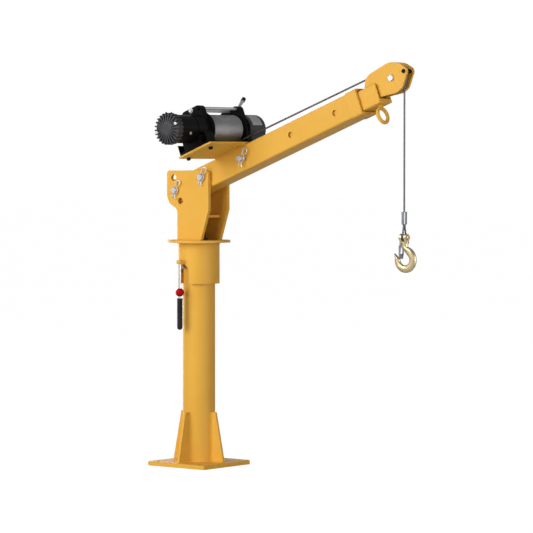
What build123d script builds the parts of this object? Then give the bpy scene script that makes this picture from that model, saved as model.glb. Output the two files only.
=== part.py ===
import os
from math import asin, atan, atan2, cos, degrees, pi, radians, sin, sqrt

from build123d import *

os.makedirs("parts", exist_ok=True)

# Clearances
run_gap = 0.05
pin_gap = 0.1
free_gap = 0.3
face_gap = 0.2

# Base and column
base_side = 244.0
base_thick = 14.0
base_corner = 6.0
base_edge = 1.5
base_hole_pitch = 190.0
base_hole_d = 16.0
column_d = 108.0
column_wall = 6.0
gusset_height = 165.0
gusset_top = 20.0
gusset_foot = 53.0
gusset_toe = 6.0
gusset_thick = 8.0

# Swivel head on the column
flange_top = 750.0
flange_thick = 8.0
flange_d = 210.0
sleeve_wall = 10.0
sleeve_height = 136.0
bush_wall = 5.0
bush_height = 30.0
bush_inset = 4.0
king_d = 28.0
king_cap = 12.0
thrust_d = 84.0
thrust_thick = 4.0
king_nut_flat = 42.0
king_nut_height = 22.0
king_washer_d = 56.0
king_washer_thick = 5.0
king_end = 6.0

# Hanging brake lever on the sleeve
lever_azimuth = -98.0
lever_clear = 16.0
lever_drop = 64.0
lever_eye_d = 13.0
lever_eye_width = 10.0
lever_trunnion_d = 6.0
lever_rod_d = 9.0
lug_thick = 4.0
lug_d = 13.0
notch_width = 45.0
notch_drop = 9.0
brake_finger_drop = 18.0
brake_finger_height = 8.0
brake_finger_width = 8.0
ball_d = 29.0
ball_drop = 100.0
grip_d = 19.0
grip_drop = 20.0
grip_length = 104.0
grip_wall_end = 16.0

# Cheek plates
cheek_gap = 86.0
cheek_thick = 12.0
cheek_rear_x = -92.0
cheek_front_x = 87.0
cheek_height = 231.0
cheek_top_round = 10.0
cheek_bend_drop = 129.0
cheek_foot_front_x = 54.0
cheek_neck_x = -47.0
cheek_belly_drop = 77.0
cheek_waist_drop = 143.0
cheek_round_x = -67.0
cheek_round_drop = 118.0
shelf_front_x = 54.0
shelf_depth = 96.0
shelf_rise = 83.0
shelf_thick = 8.0

# Pins of the boom
pivot_inset = 29.0
pivot_drop = 22.0
elevation = 20.8
elevation_step = 20.0
elevation_radius = 121.0
cheek_pin_d = 22.0
cheek_pin_over = 14.0
extension_pin_over = 26.0
pin_head = 7.0
pin_head_over = 6.0
pin_end_chamfer = 2.0
clip_wire_d = 3.2
clip_rise = 36.0
clip_tail = 27.0
clip_lean = 19.0
clip_loop = 16.0
clip_loop_height = 13.0
clip_waist = 6.5
clip_bulge_gap = 1.0
clip_bend_r = 4.5

# Telescopic boom
boom_side = 80.0
boom_wall = 5.0
boom_corner = 6.0
boom_tail = 142.0
boom_end = 681.0
pivot_bush_wall = 4.0
band_length = 44.0
band_thick = 3.0
inner_side = 65.0
inner_wall = 5.0
inner_corner = 5.0
inner_end = 752.0
inner_end_plate = 5.0
extension_pin_d = 20.0
extension_first = 176.0
extension_second = 387.0
extension_third = 578.0
inner_tail_behind_pin = 10.0
pad_length = 40.0
pad_recess = 6.0
rear_pad_length = 30.0
pad_width = 40.0

# Boom head
head_foot_rise = 10.0
head_gap = 26.0
head_thick = 8.0
head_rear = 703.0
head_reach = 66.5
head_drop = 3.0
sheave_s = 812.0
sheave_n = 27.0
sheave_pin_d = 15.0
sheave_pin_over = 6.5
sheave_pin_flat = 18.5
sheave_width = 20.0
sheave_d = 84.0
sheave_bush_wall = 3.0
sheave_rim = 3.0
guard_s = 864.0
guard_n = 29.0
guard_d = 14.0
guard_over = 2.0
ring_s = 725.0
ring_n = -65.0
ring_od = 60.0
ring_wire = 12.0
ring_shank_d = 19.0

# Rope and hook
rope_d = 6.0
rope_bend_r = 36.0
rope_fall_length = 420.0
ferrule_length = 40.0
ferrule_d = 14.0
clevis_drop = 41.0
clevis_pin_d = 10.0
clevis_pin_length = 36.0
clevis_gap = 9.0
clevis_ear = 8.5
clevis_round_d = 24.0
clevis_crotch = 12.5
hook_thick = 17.0
hook_bowl_r = 18.3
hook_bowl_x = 2.8
hook_bowl_drop = 68.9
hook_outer_r = 41.2
hook_outer_x = 5.6
hook_belly = 1.1
hook_neck = 28.0
hook_throat = (-11.5, -28.0)
hook_throat_angle = 20.0
hook_tip = (-38.0, -49.0)
hook_edge = 4.0
latch_pin_d = 4.0
latch_pin_x = -6.0
latch_pin_drop = 20.5
latch_sheet = 1.5
latch_hub_d = 8.5
latch_width = 2.0
latch_strap_from = 0.6
latch_rise = 1.5

# Winch on its plate
winch_s = 122.0
winch_n = 121.0
winch_plate_rear_over = 8.0
winch_plate_front_over = 33.0
winch_plate_near = 222.0
winch_plate_far = 82.0
winch_plate_thick = 6.0
foot_pitch = 100.0
foot_near_y = -184.0
foot_far_y = 62.0
spare_hole_y = -74.0
foot_bolt_d = 8.0
foot_hole_d = 9.0
foot_bolt_flat = 13.0
foot_bolt_head = 5.5
foot_nut = 6.5
foot_bolt_end = 2.0
foot_over = 12.0
foot_thick = 12.0
support_near_y = -142.0
support_far_y = 30.0
support_thick = 23.0
support_front = 42.0
support_rear = 47.0
support_top = 72.0
support_shoulder = 20.0
support_round = 16.0
foot_depth = 64.0
saddle_height = 40.0
pocket_width = 21.0
pocket_depth = 34.0
gear_foot_depth = 46.0
tie_bar_d = 10.0
tie_bar_front = (29.0, 62.0)
tie_bar_rear = (0.0, 64.5)

# Motor
motor_r = 46.0
motor_wall = 4.0
motor_boss_r = 48.0
motor_boss_y = -206.0
motor_end_y = -288.0
cap_thick = 20.0
cap_r = 47.5
fin_end_y = -317.0
fin_r = 51.5
fin_thick = 4.5
fin_count = 24
fin_hub_r = 15.0
fin_slope = 4.0
fin_root = 3.0
armature_r = 30.0
armature_length = 56.0
commutator_r = 16.0
commutator_length = 12.0
shaft_d = 13.0
shaft_seat = 11.0

# Drum and its rope winding
journal_d = 50.0
drum_flange_r = 57.0
drum_flange_thick = 3.0
drum_side_gap = 2.0
drum_bore_d = 28.0
winding_r = 45.0
winding_pitch = 6.4
winding_inset = 4.0
layer_step = 6.35

# Planetary gears
gear_module = 1.5
sun_teeth = 12
planet_teeth = 18
ring_teeth = 48
planet_count = 3
gear_width = 20.0
pressure_angle = 20.0
tooth_play = 0.12
tooth_tip = 0.8
tooth_root = 1.15
gear_housing_r = 50.0
gear_housing_wall = 6.0
gear_housing_end_y = 135.0
gear_end_wall = 7.0
planet_post_d = 10.0
carrier_thick = 6.0
ring_overhang = 3.0

# Clutch lever on the gear housing
clutch_s = -6.0
clutch_y = 66.0
clutch_boss_d = 22.0
clutch_boss_height = 5.0
clutch_hub_d = 16.0
clutch_hub_height = 8.0
clutch_pivot_d = 8.0
clutch_arm_length = 82.0
clutch_arm_root_d = 6.0
clutch_arm_tip_d = 12.0
clutch_tilt = 54.0
knob_d = 15.0
knob_length = 18.0

# Values that follow from the driving dimensions
flange_bottom = flange_top - flange_thick
sleeve_bottom = flange_bottom - sleeve_height
column_r = column_d / 2
sleeve_bore_r = column_r + bush_wall
sleeve_r = sleeve_bore_r + sleeve_wall
sleeve_d = 2 * sleeve_r
lever_radius = sleeve_r + lever_clear
lever_pivot_z = flange_bottom - lever_drop
notch_top_z = lever_pivot_z - notch_drop
ball_z = lever_pivot_z - ball_drop
grip_top_z = ball_z - grip_drop
cap_top = flange_bottom - face_gap - thrust_thick
column_top = cap_top - king_cap
cheek_inner = cheek_gap / 2
cheek_top_z = flange_top + cheek_height
cheek_bend_z = cheek_top_z - cheek_bend_drop
cheek_belly_z = cheek_top_z - cheek_belly_drop
cheek_round_z = cheek_top_z - cheek_round_drop
cheek_waist_z = cheek_top_z - cheek_waist_drop
shelf_top_z = flange_top + shelf_rise
web_x = shelf_front_x - shelf_depth
pivot_x = cheek_front_x - pivot_inset
pivot_z = cheek_top_z - pivot_drop
cheek_outer = cheek_inner + cheek_thick
boom_half = boom_side / 2
inner_half = inner_side / 2
boom_bore_half = boom_half - boom_wall
rope_r = rope_d / 2
plate_top = boom_half + winch_plate_thick
winch_plate_rear = winch_s - foot_pitch / 2 - winch_plate_rear_over
winch_plate_front = winch_s + foot_pitch / 2 + winch_plate_front_over
core_r = winding_r - rope_r - free_gap
rope_turn_r = winding_r + layer_step
gear_y = support_far_y + support_thick + free_gap
planet_radius = gear_module * (sun_teeth + planet_teeth) / 2


# Planes of the boom: s runs along it from the pivot, n is normal to its top
boom_dir = Vector(cos(radians(elevation)), 0, sin(radians(elevation)))
boom_normal = Vector(-sin(radians(elevation)), 0, cos(radians(elevation)))
pivot = Vector(pivot_x, 0, pivot_z)
side_plane = Plane(origin=pivot, x_dir=boom_dir, z_dir=(0, -1, 0))
across = Vector(0, 1, 0)


def boom_point(s, y, n):
    """World point of boom coordinates s, y and n."""
    return pivot + boom_dir * s + across * y + boom_normal * n


def section_plane(s):
    """Plane square to the boom at s, with x along Y and y along n."""
    return Plane(origin=boom_point(s, 0, 0), x_dir=across, z_dir=boom_dir)


def side_at(y, s=0.0, n=0.0):
    """Plane of the boom's side view at y, centred on s and n, facing -Y."""
    return Plane(origin=boom_point(s, y, n), x_dir=boom_dir, z_dir=(0, -1, 0))


def deck_at(s, y, n):
    """Plane square to the boom's normal, with x along the boom."""
    return Plane(origin=boom_point(s, y, n), x_dir=boom_dir, z_dir=boom_normal)


def world_side(y):
    """Plane of the world's side view at y, facing -Y."""
    return Plane(origin=(0, y, 0), x_dir=(1, 0, 0), z_dir=(0, -1, 0))


def save(part, name):
    """Label a finished piece and write its STEP file."""
    part.label = name
    export_step(part, f"parts/{name}.step")


# Base plate with its four anchor holes
with BuildPart() as base_plate:
    with BuildSketch():
        RectangleRounded(base_side, base_side, base_corner)
        with GridLocations(base_hole_pitch, base_hole_pitch, 2, 2):
            Circle(base_hole_d / 2, mode=Mode.SUBTRACT)
    extrude(amount=base_thick)
    chamfer(base_plate.faces().sort_by(Axis.Z)[-1].outer_wire().edges(), base_edge)
save(base_plate.part, "base_plate")

# Column tube welded on the plate
with BuildPart() as column_tube:
    with BuildSketch(Plane.XY.offset(base_thick)):
        Circle(column_r)
        Circle(column_r - column_wall, mode=Mode.SUBTRACT)
    extrude(amount=column_top - base_thick)
save(column_tube.part, "column_tube")

# Four gussets between column and plate
with BuildPart() as base_gussets:
    for turn in range(4):
        out = Vector(1, 0, 0).rotate(Axis.Z, 90 * turn)
        with BuildSketch(Plane(origin=(0, 0, base_thick), x_dir=out, z_dir=out.cross(Vector(0, 0, 1)))):
            with BuildLine():
                Polyline(
                    (0, 0),
                    (column_r + gusset_foot, 0),
                    (column_r + gusset_foot, gusset_toe),
                    (column_r + gusset_top, gusset_height),
                    (0, gusset_height),
                    close=True,
                )
            make_face()
        extrude(amount=gusset_thick / 2, both=True)
    with BuildSketch(Plane.XY.offset(base_thick)):
        Circle(column_r)
    extrude(amount=gusset_height, mode=Mode.SUBTRACT)
save(base_gussets.part, "base_gussets")

# King pin: a turned cap on the column top with a stud through the flange
king_top = flange_top + face_gap + king_washer_thick + king_nut_height + king_end
with BuildPart() as king_pin:
    with BuildSketch(Plane.XY.offset(column_top)):
        Circle(column_r)
    extrude(amount=king_cap)
    with BuildSketch(Plane.XY.offset(cap_top)):
        Circle(king_d / 2)
    extrude(amount=king_top - cap_top)
    chamfer(king_pin.faces().sort_by(Axis.Z)[-1].edges(), king_end / 3)
save(king_pin.part, "king_pin")

# Bronze thrust washer under the flange
with BuildPart() as thrust_washer:
    with BuildSketch(Plane.XY.offset(cap_top)):
        Circle(thrust_d / 2)
        Circle(king_d / 2 + free_gap, mode=Mode.SUBTRACT)
    extrude(amount=thrust_thick)
save(thrust_washer.part, "thrust_washer")

# King nut with its washer face, above the flange
with BuildPart() as king_nut:
    with BuildSketch(Plane.XY.offset(flange_top + face_gap)):
        Circle(king_washer_d / 2)
    extrude(amount=king_washer_thick)
    with BuildSketch(Plane.XY.offset(flange_top + face_gap + king_washer_thick)):
        RegularPolygon(king_nut_flat / 2, 6, major_radius=False)
    extrude(amount=king_nut_height)
    with BuildSketch(Plane.XY.offset(flange_top + face_gap)):
        Circle(king_d / 2)
    extrude(amount=king_washer_thick + king_nut_height, mode=Mode.SUBTRACT)
save(king_nut.part, "king_nut")

# Radial plane of the brake lever, x outwards and y up
lever_out = Vector(1, 0, 0).rotate(Axis.Z, lever_azimuth)
lever_plane = Plane(origin=(0, 0, 0), x_dir=lever_out, z_dir=lever_out.cross(Vector(0, 0, 1)))
lever_side = lever_plane.z_dir
notch_plane = Plane(origin=(0, 0, 0), x_dir=lever_side, z_dir=lever_out * -1)


def notch_outline():
    """Inverted U of the sleeve's notch, seen along the radius."""
    notch_r = notch_width / 2
    with Locations((0, notch_top_z - notch_r)):
        Circle(notch_r)
    with Locations((0, (sleeve_bottom + notch_top_z - notch_r) / 2)):
        Rectangle(notch_width, notch_top_z - notch_r - sleeve_bottom)


# Swivel sleeve over the column, with its notch
with BuildPart() as swivel_sleeve:
    with BuildSketch(Plane.XY.offset(sleeve_bottom)):
        Circle(sleeve_r)
        Circle(sleeve_bore_r, mode=Mode.SUBTRACT)
    extrude(amount=sleeve_height)
    with BuildSketch(notch_plane):
        notch_outline()
    extrude(amount=-sleeve_d, mode=Mode.SUBTRACT)
save(swivel_sleeve.part, "swivel_sleeve")

# Two bronze bushes pressed into the sleeve
with BuildPart() as swivel_bushes:
    for low in (sleeve_bottom + bush_inset, column_top - bush_inset - bush_height):
        with BuildSketch(Plane.XY.offset(low)):
            Circle(sleeve_bore_r)
            Circle(column_r + run_gap, mode=Mode.SUBTRACT)
        extrude(amount=bush_height)
    with BuildSketch(notch_plane):
        notch_outline()
    extrude(amount=-sleeve_d, mode=Mode.SUBTRACT)
save(swivel_bushes.part, "swivel_bushes")

# Round flange welded on the sleeve
with BuildPart() as swivel_flange:
    with BuildSketch(Plane.XY.offset(flange_bottom)):
        Circle(flange_d / 2)
        Circle(king_d / 2 + run_gap, mode=Mode.SUBTRACT)
    extrude(amount=flange_thick)
save(swivel_flange.part, "swivel_flange")


def elevation_hole(step):
    """World x and z of an elevation hole, counted from the one in use."""
    angle = radians(elevation + step * elevation_step)
    return pivot_x - elevation_radius * cos(angle), pivot_z - elevation_radius * sin(angle)


def cheek_outline():
    """Side outline of a cheek plate in x and z."""
    with BuildSketch() as outline:
        with BuildLine():
            Line((cheek_neck_x, flange_top), (cheek_foot_front_x, flange_top))
            Line((cheek_foot_front_x, flange_top), (cheek_front_x, cheek_bend_z))
            Line((cheek_front_x, cheek_bend_z), (cheek_front_x, cheek_top_z))
            Line((cheek_front_x, cheek_top_z), (cheek_rear_x, cheek_top_z))
            Line((cheek_rear_x, cheek_top_z), (cheek_rear_x, cheek_belly_z))
            TangentArc((cheek_rear_x, cheek_belly_z), (cheek_round_x, cheek_round_z), tangent=(0, -1))
            TangentArc((cheek_neck_x, cheek_waist_z), (cheek_round_x, cheek_round_z), tangent=(0, 1))
            Line((cheek_neck_x, cheek_waist_z), (cheek_neck_x, flange_top))
        make_face()
    return outline.sketch_local


# Two cheek plates with pivot and elevation holes
for name, outer_y in (("cheek_left", -cheek_inner), ("cheek_right", cheek_outer)):
    with BuildPart() as cheek:
        with BuildSketch(world_side(outer_y)):
            add(cheek_outline())
            with Locations((pivot_x, pivot_z)):
                Circle(cheek_pin_d / 2 + pin_gap, mode=Mode.SUBTRACT)
            with Locations(*[elevation_hole(step) for step in (-1, 0, 1)]):
                Circle(cheek_pin_d / 2 + pin_gap, mode=Mode.SUBTRACT)
        extrude(amount=cheek_thick)
        fillet(cheek.edges().filter_by(Axis.Y).group_by(Axis.Z)[-1], cheek_top_round)
    save(cheek.part, name)

# Shelf and web bent from one plate, welded between the cheeks
with BuildPart() as cheek_shelf:
    with BuildSketch(world_side(cheek_inner)):
        with BuildLine():
            Polyline(
                (web_x, flange_top),
                (web_x + shelf_thick, flange_top),
                (web_x + shelf_thick, shelf_top_z - shelf_thick),
                (shelf_front_x, shelf_top_z - shelf_thick),
                (shelf_front_x, shelf_top_z),
                (web_x, shelf_top_z),
                close=True,
            )
        make_face()
    extrude(amount=cheek_gap)
save(cheek_shelf.part, "cheek_shelf")


def clip_plane(center):
    """Plane of a clip across its pin, leaning towards the boom's front."""
    lean = Vector(sin(radians(clip_lean)), 0, cos(radians(clip_lean)))
    return Plane(origin=center, x_dir=lean.cross(Vector(0, -1, 0)), z_dir=(0, -1, 0))


def clip_solid(center, pin_d):
    """One spring clip: a straight leg through the pin, a loop, and a leg that bulges round the pin."""
    bulge = pin_d / 2 + clip_wire_d / 2 + clip_bulge_gap
    waist = pin_d / 2 + clip_wire_d
    plane = clip_plane(center)
    with BuildPart() as clip:
        with BuildLine(plane) as bent:
            FilletPolyline(
                (0, -clip_tail),
                (0, clip_rise),
                (clip_loop, clip_rise),
                (clip_loop, clip_rise - clip_loop_height),
                (clip_waist, waist),
                (bulge, pin_d / 4),
                (bulge, -pin_d / 4),
                (clip_waist, -waist),
                (bulge, -clip_tail),
                radius=clip_bend_r,
            )
        with BuildSketch(Plane(origin=bent.wire() @ 0, z_dir=bent.wire() % 0)):
            Circle(clip_wire_d / 2)
        sweep(path=bent.wire())
    return clip.part


def pin_solid(center, pin_d, near_y, far_y, over):
    """Headed pin along Y that stands out by over at the -Y end, with a cross hole for its clip there."""
    at = Vector(center.X, 0, center.Z)
    end_y = near_y - over
    with BuildPart() as pin:
        with BuildSketch(Plane(origin=at + across * far_y, x_dir=(1, 0, 0), z_dir=(0, -1, 0))):
            Circle(pin_d / 2)
        extrude(amount=far_y - end_y)
        chamfer(pin.faces().sort_by(Axis.Y)[0].edges(), pin_end_chamfer)
        with BuildSketch(Plane(origin=at + across * (far_y + pin_head), x_dir=(1, 0, 0), z_dir=(0, -1, 0))):
            Circle(pin_d / 2 + pin_head_over)
        extrude(amount=pin_head)
        plane = clip_plane(at + across * (near_y - over / 2))
        with BuildSketch(Plane(origin=plane.from_local_coords((0, -pin_d, 0)), z_dir=plane.y_dir)):
            Circle(clip_wire_d / 2 + pin_gap)
        extrude(amount=2 * pin_d, mode=Mode.SUBTRACT)
    return pin.part


# Boom pivot pin and elevation pin in the cheeks, with their clips
lock_x, lock_z = elevation_hole(0)
lock_center = Vector(lock_x, 0, lock_z)
clip_y = -cheek_outer - cheek_pin_over / 2
save(pin_solid(pivot, cheek_pin_d, -cheek_outer, cheek_outer, cheek_pin_over), "boom_pivot_pin")
save(pin_solid(lock_center, cheek_pin_d, -cheek_outer, cheek_outer, cheek_pin_over), "elevation_pin")
with BuildPart() as cheek_pin_clips:
    for center in (pivot, lock_center):
        add(clip_solid(center + across * clip_y, cheek_pin_d))
save(cheek_pin_clips.part, "cheek_pin_clips")

# Two lugs on the sleeve that carry the brake lever
lug_inner = lever_eye_width / 2 + free_gap
with BuildPart() as lever_lugs:
    for low in (lug_inner, -lug_inner - lug_thick):
        with BuildSketch(lever_plane.offset(low)):
            with Locations((lever_radius, lever_pivot_z)):
                Circle(lug_d / 2)
            with Locations(((lever_radius + sleeve_bore_r) / 2, lever_pivot_z)):
                Rectangle(lever_radius - sleeve_bore_r, lug_d)
            with Locations((lever_radius, lever_pivot_z)):
                Circle(lever_trunnion_d / 2 + run_gap, mode=Mode.SUBTRACT)
        extrude(amount=lug_thick)
    with BuildSketch(Plane.XY.offset(sleeve_bottom)):
        Circle(sleeve_r)
    extrude(amount=sleeve_height, mode=Mode.SUBTRACT)
save(lever_lugs.part, "lever_lugs")

# Brake lever: eye with trunnions, brake finger and plated rod
rod_low_z = grip_top_z - grip_length + grip_wall_end
finger_z = lever_pivot_z - brake_finger_drop
finger_tip = column_r + free_gap
with BuildPart() as brake_lever:
    with BuildSketch(lever_plane):
        with Locations((lever_radius, lever_pivot_z)):
            Circle(lever_eye_d / 2)
    extrude(amount=lever_eye_width / 2, both=True)
    with BuildSketch(lever_plane):
        with Locations((lever_radius, lever_pivot_z)):
            Circle(lever_trunnion_d / 2)
    extrude(amount=lug_inner + lug_thick + free_gap, both=True)
    with BuildSketch(Plane(origin=lever_out * lever_radius + Vector(0, 0, rod_low_z), z_dir=(0, 0, 1))):
        Circle(lever_rod_d / 2)
    extrude(amount=lever_pivot_z - rod_low_z)
    with BuildSketch(lever_plane):
        with Locations(((finger_tip + lever_radius) / 2, finger_z)):
            Rectangle(lever_radius - finger_tip, brake_finger_height)
    extrude(amount=brake_finger_width / 2, both=True)
save(brake_lever.part, "brake_lever")

# Red ball on the lever rod
with BuildPart() as lever_ball:
    with Locations(lever_out * lever_radius + Vector(0, 0, ball_z)):
        Sphere(ball_d / 2)
        Cylinder(lever_rod_d / 2, ball_d, mode=Mode.SUBTRACT)
save(lever_ball.part, "lever_ball")

# Black grip on the rod's end
with BuildPart() as lever_grip:
    with BuildSketch(Plane(origin=lever_out * lever_radius + Vector(0, 0, grip_top_z), z_dir=(0, 0, -1))):
        Circle(grip_d / 2)
    extrude(amount=grip_length)
    fillet(lever_grip.faces().sort_by(Axis.Z)[0].edges(), grip_d / 4)
    with BuildSketch(Plane(origin=lever_out * lever_radius + Vector(0, 0, grip_top_z), z_dir=(0, 0, -1))):
        Circle(lever_rod_d / 2)
    extrude(amount=grip_length - grip_wall_end, mode=Mode.SUBTRACT)
save(lever_grip.part, "lever_grip")

# Outer boom: square tube with a tail slot that seats on the elevation pin
slot_half = cheek_pin_d / 2 + free_gap
slot_sweep = degrees(asin(boom_half / elevation_radius)) + degrees(atan(slot_half / elevation_radius)) + 6
extension_holes = [extension_first, extension_second, extension_third]
with BuildPart() as outer_boom:
    with BuildSketch(section_plane(-boom_tail)):
        RectangleRounded(boom_side, boom_side, boom_corner)
        boom_bore = 2 * boom_bore_half
        RectangleRounded(boom_bore, boom_bore, boom_corner - boom_wall, mode=Mode.SUBTRACT)
    extrude(amount=boom_tail + boom_end)
    with BuildSketch(side_plane):
        Circle(cheek_pin_d / 2 + run_gap + pivot_bush_wall)
        with Locations(*[(s, 0) for s in extension_holes]):
            Circle(extension_pin_d / 2 + pin_gap)
        with Locations((-elevation_radius, 0)):
            Circle(slot_half)
        with BuildLine():
            outer_arc = CenterArc((0, 0), elevation_radius + slot_half, 180, -slot_sweep)
            inner_arc = CenterArc((0, 0), elevation_radius - slot_half, 180, -slot_sweep)
            Line(outer_arc @ 0, inner_arc @ 0)
            Line(outer_arc @ 1, inner_arc @ 1)
        make_face()
    extrude(amount=boom_side, both=True, mode=Mode.SUBTRACT)
save(outer_boom.part, "outer_boom")

# Band welded round the outer boom's mouth
with BuildPart() as boom_end_band:
    with BuildSketch(section_plane(boom_end - band_length)):
        RectangleRounded(boom_side + 2 * band_thick, boom_side + 2 * band_thick, boom_corner + band_thick)
        RectangleRounded(boom_side, boom_side, boom_corner, mode=Mode.SUBTRACT)
    extrude(amount=band_length)
save(boom_end_band.part, "boom_end_band")

# Bush across the boom for the pivot pin
bush_half = cheek_inner - free_gap
with BuildPart() as boom_pivot_bush:
    with BuildSketch(side_plane):
        Circle(cheek_pin_d / 2 + run_gap + pivot_bush_wall)
        Circle(cheek_pin_d / 2 + run_gap, mode=Mode.SUBTRACT)
    extrude(amount=bush_half, both=True)
save(boom_pivot_bush.part, "boom_pivot_bush")

# Four slide pads inside the boom's mouth
pad_thick = boom_bore_half - inner_half - free_gap
with BuildPart() as front_slide_pads:
    with BuildSketch(section_plane(boom_end - pad_recess - pad_length)):
        with Locations((0, boom_bore_half - pad_thick / 2), (0, pad_thick / 2 - boom_bore_half)):
            Rectangle(pad_width, pad_thick)
        with Locations((boom_bore_half - pad_thick / 2, 0), (pad_thick / 2 - boom_bore_half, 0)):
            Rectangle(pad_thick, pad_width)
    extrude(amount=pad_length)
save(front_slide_pads.part, "front_slide_pads")

# Extension pin that the inner boom's tail seats on, with its clip
extension_center = boom_point(extension_first, 0, 0)
save(pin_solid(extension_center, extension_pin_d, -boom_half, boom_half, extension_pin_over), "extension_pin")
with BuildPart() as extension_clip:
    add(clip_solid(extension_center - across * (boom_half + extension_pin_over / 2), extension_pin_d))
save(extension_clip.part, "extension_clip")

# Inner boom: square tube, notched at the tail and slotted for the head plates
inner_tail = extension_first - inner_tail_behind_pin
notch_half = extension_pin_d / 2 + free_gap
head_mid = head_gap / 2 + head_thick / 2
head_n = sheave_n - head_drop
end_plate_top = head_n - 0.6 * head_reach
with BuildPart() as inner_boom:
    with BuildSketch(section_plane(inner_tail)):
        RectangleRounded(inner_side, inner_side, inner_corner)
        RectangleRounded(inner_side - 2 * inner_wall, inner_side - 2 * inner_wall, 1.0, mode=Mode.SUBTRACT)
    extrude(amount=inner_end - inner_tail)
    with BuildSketch(side_plane):
        with Locations((extension_first, 0)):
            Circle(notch_half)
        with Locations((extension_first - inner_tail_behind_pin, 0)):
            Rectangle(2 * inner_tail_behind_pin, 2 * notch_half)
    extrude(amount=inner_side, both=True, mode=Mode.SUBTRACT)
    for side in (-1, 1):
        with BuildSketch(side_at(side * head_mid + head_thick / 2 + pin_gap)):
            with BuildLine():
                Polyline(
                    (head_rear - pin_gap, 0),
                    (inner_end + inner_wall, 0),
                    (inner_end + inner_wall, inner_side),
                    (head_rear - pin_gap, inner_side),
                    close=True,
                )
            make_face()
        extrude(amount=head_thick + 2 * pin_gap, mode=Mode.SUBTRACT)
    with BuildSketch(section_plane(inner_end - inner_end_plate)):
        with Locations((0, (end_plate_top - inner_half) / 2)):
            Rectangle(inner_side - inner_wall, end_plate_top + inner_half - inner_wall)
    extrude(amount=inner_end_plate)
save(inner_boom.part, "inner_boom")

# Four slide pads on the inner boom's tail
with BuildPart() as rear_slide_pads:
    with BuildSketch(section_plane(extension_first + extension_pin_d)):
        with Locations((0, inner_half + pad_thick / 2), (0, -inner_half - pad_thick / 2)):
            Rectangle(pad_width, pad_thick)
        with Locations((inner_half + pad_thick / 2, 0), (-inner_half - pad_thick / 2, 0)):
            Rectangle(pad_thick, pad_width)
    extrude(amount=rear_pad_length)
save(rear_slide_pads.part, "rear_slide_pads")


def head_at(along, up):
    """Point of the head plate's outline, in shares of its reach about the sheave."""
    return sheave_s + along * head_reach, head_n + up * head_reach


def head_outline():
    """Side outline of a head plate in s and n."""
    low_inside = -inner_half + inner_wall + head_foot_rise
    heel = head_at(-0.797, -0.571)
    nape = (head_rear, head_n + 0.18 * head_reach)
    with BuildSketch() as outline:
        with BuildLine():
            Polyline(heel, (head_rear, low_inside), nape, head_at(-1.474, 0.496))
            Spline(
                head_at(-1.474, 0.496),
                head_at(-1.323, 0.609),
                head_at(-1.053, 0.699),
                tangents=((0.6, 1), (1, 0.16)),
            )
            Line(head_at(-1.053, 0.699), head_at(-0.135, 0.782))
            ThreePointArc(head_at(-0.135, 0.782), head_at(0.316, 0.722), head_at(0.752, 0.421))
            Line(head_at(0.752, 0.421), head_at(0.917, 0.211))
            ThreePointArc(head_at(0.917, 0.211), head_at(0.958, 0.06), head_at(0.887, -0.09))
            Line(head_at(0.887, -0.09), head_at(0.451, -0.571))
            ThreePointArc(head_at(0.451, -0.571), head_at(0.195, -0.677), head_at(-0.135, -0.684))
            Line(head_at(-0.135, -0.684), heel)
        make_face()
    return outline.sketch_local


# Two head plates welded into the inner boom's end
for name, high_y in (("head_plate_left", -head_gap / 2), ("head_plate_right", head_gap / 2 + head_thick)):
    with BuildPart() as head_plate:
        with BuildSketch(side_at(high_y)):
            add(head_outline())
            with Locations((sheave_s, sheave_n)):
                Circle(sheave_pin_d / 2, mode=Mode.SUBTRACT)
            with Locations((guard_s, guard_n)):
                Circle(guard_d / 2, mode=Mode.SUBTRACT)
        extrude(amount=head_thick)
    save(head_plate.part, name)

# Sheave pin with a domed near end and a head on the far side
head_outer = head_gap / 2 + head_thick
with BuildPart() as sheave_pin:
    with BuildSketch(side_at(head_outer, sheave_s, sheave_n)):
        Circle(sheave_pin_d / 2)
    extrude(amount=2 * head_outer)
    for plane_y in (head_outer + sheave_pin_over, -head_outer):
        with BuildSketch(side_at(plane_y, sheave_s, sheave_n)):
            RegularPolygon(sheave_pin_flat / 2, 6, major_radius=False)
        extrude(amount=sheave_pin_over)
save(sheave_pin.part, "sheave_pin")

# Black guard pin that keeps the rope in the groove
with BuildPart() as rope_guard_pin:
    with BuildSketch(side_at(head_outer + guard_over, guard_s, guard_n)):
        Circle(guard_d / 2)
    extrude(amount=2 * (head_outer + guard_over))
save(rope_guard_pin.part, "rope_guard_pin")

# Grooved head sheave
groove_root_r = rope_bend_r - rope_r - free_gap
sheave_bore_r = sheave_pin_d / 2 + run_gap + sheave_bush_wall
with BuildPart() as head_sheave:
    with BuildSketch(section_plane(sheave_s)):
        with BuildLine():
            Polyline(
                (-sheave_width / 2, sheave_n + sheave_bore_r),
                (-sheave_width / 2, sheave_n + sheave_d / 2),
                (-sheave_width / 2 + sheave_rim, sheave_n + sheave_d / 2),
                (-rope_r - free_gap, sheave_n + rope_bend_r),
            )
            ThreePointArc(
                (-rope_r - free_gap, sheave_n + rope_bend_r),
                (0, sheave_n + groove_root_r),
                (rope_r + free_gap, sheave_n + rope_bend_r),
            )
            Polyline(
                (rope_r + free_gap, sheave_n + rope_bend_r),
                (sheave_width / 2 - sheave_rim, sheave_n + sheave_d / 2),
                (sheave_width / 2, sheave_n + sheave_d / 2),
                (sheave_width / 2, sheave_n + sheave_bore_r),
                (-sheave_width / 2, sheave_n + sheave_bore_r),
            )
        make_face()
    revolve(axis=Axis(boom_point(sheave_s, 0, sheave_n), across))
save(head_sheave.part, "head_sheave")

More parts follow.
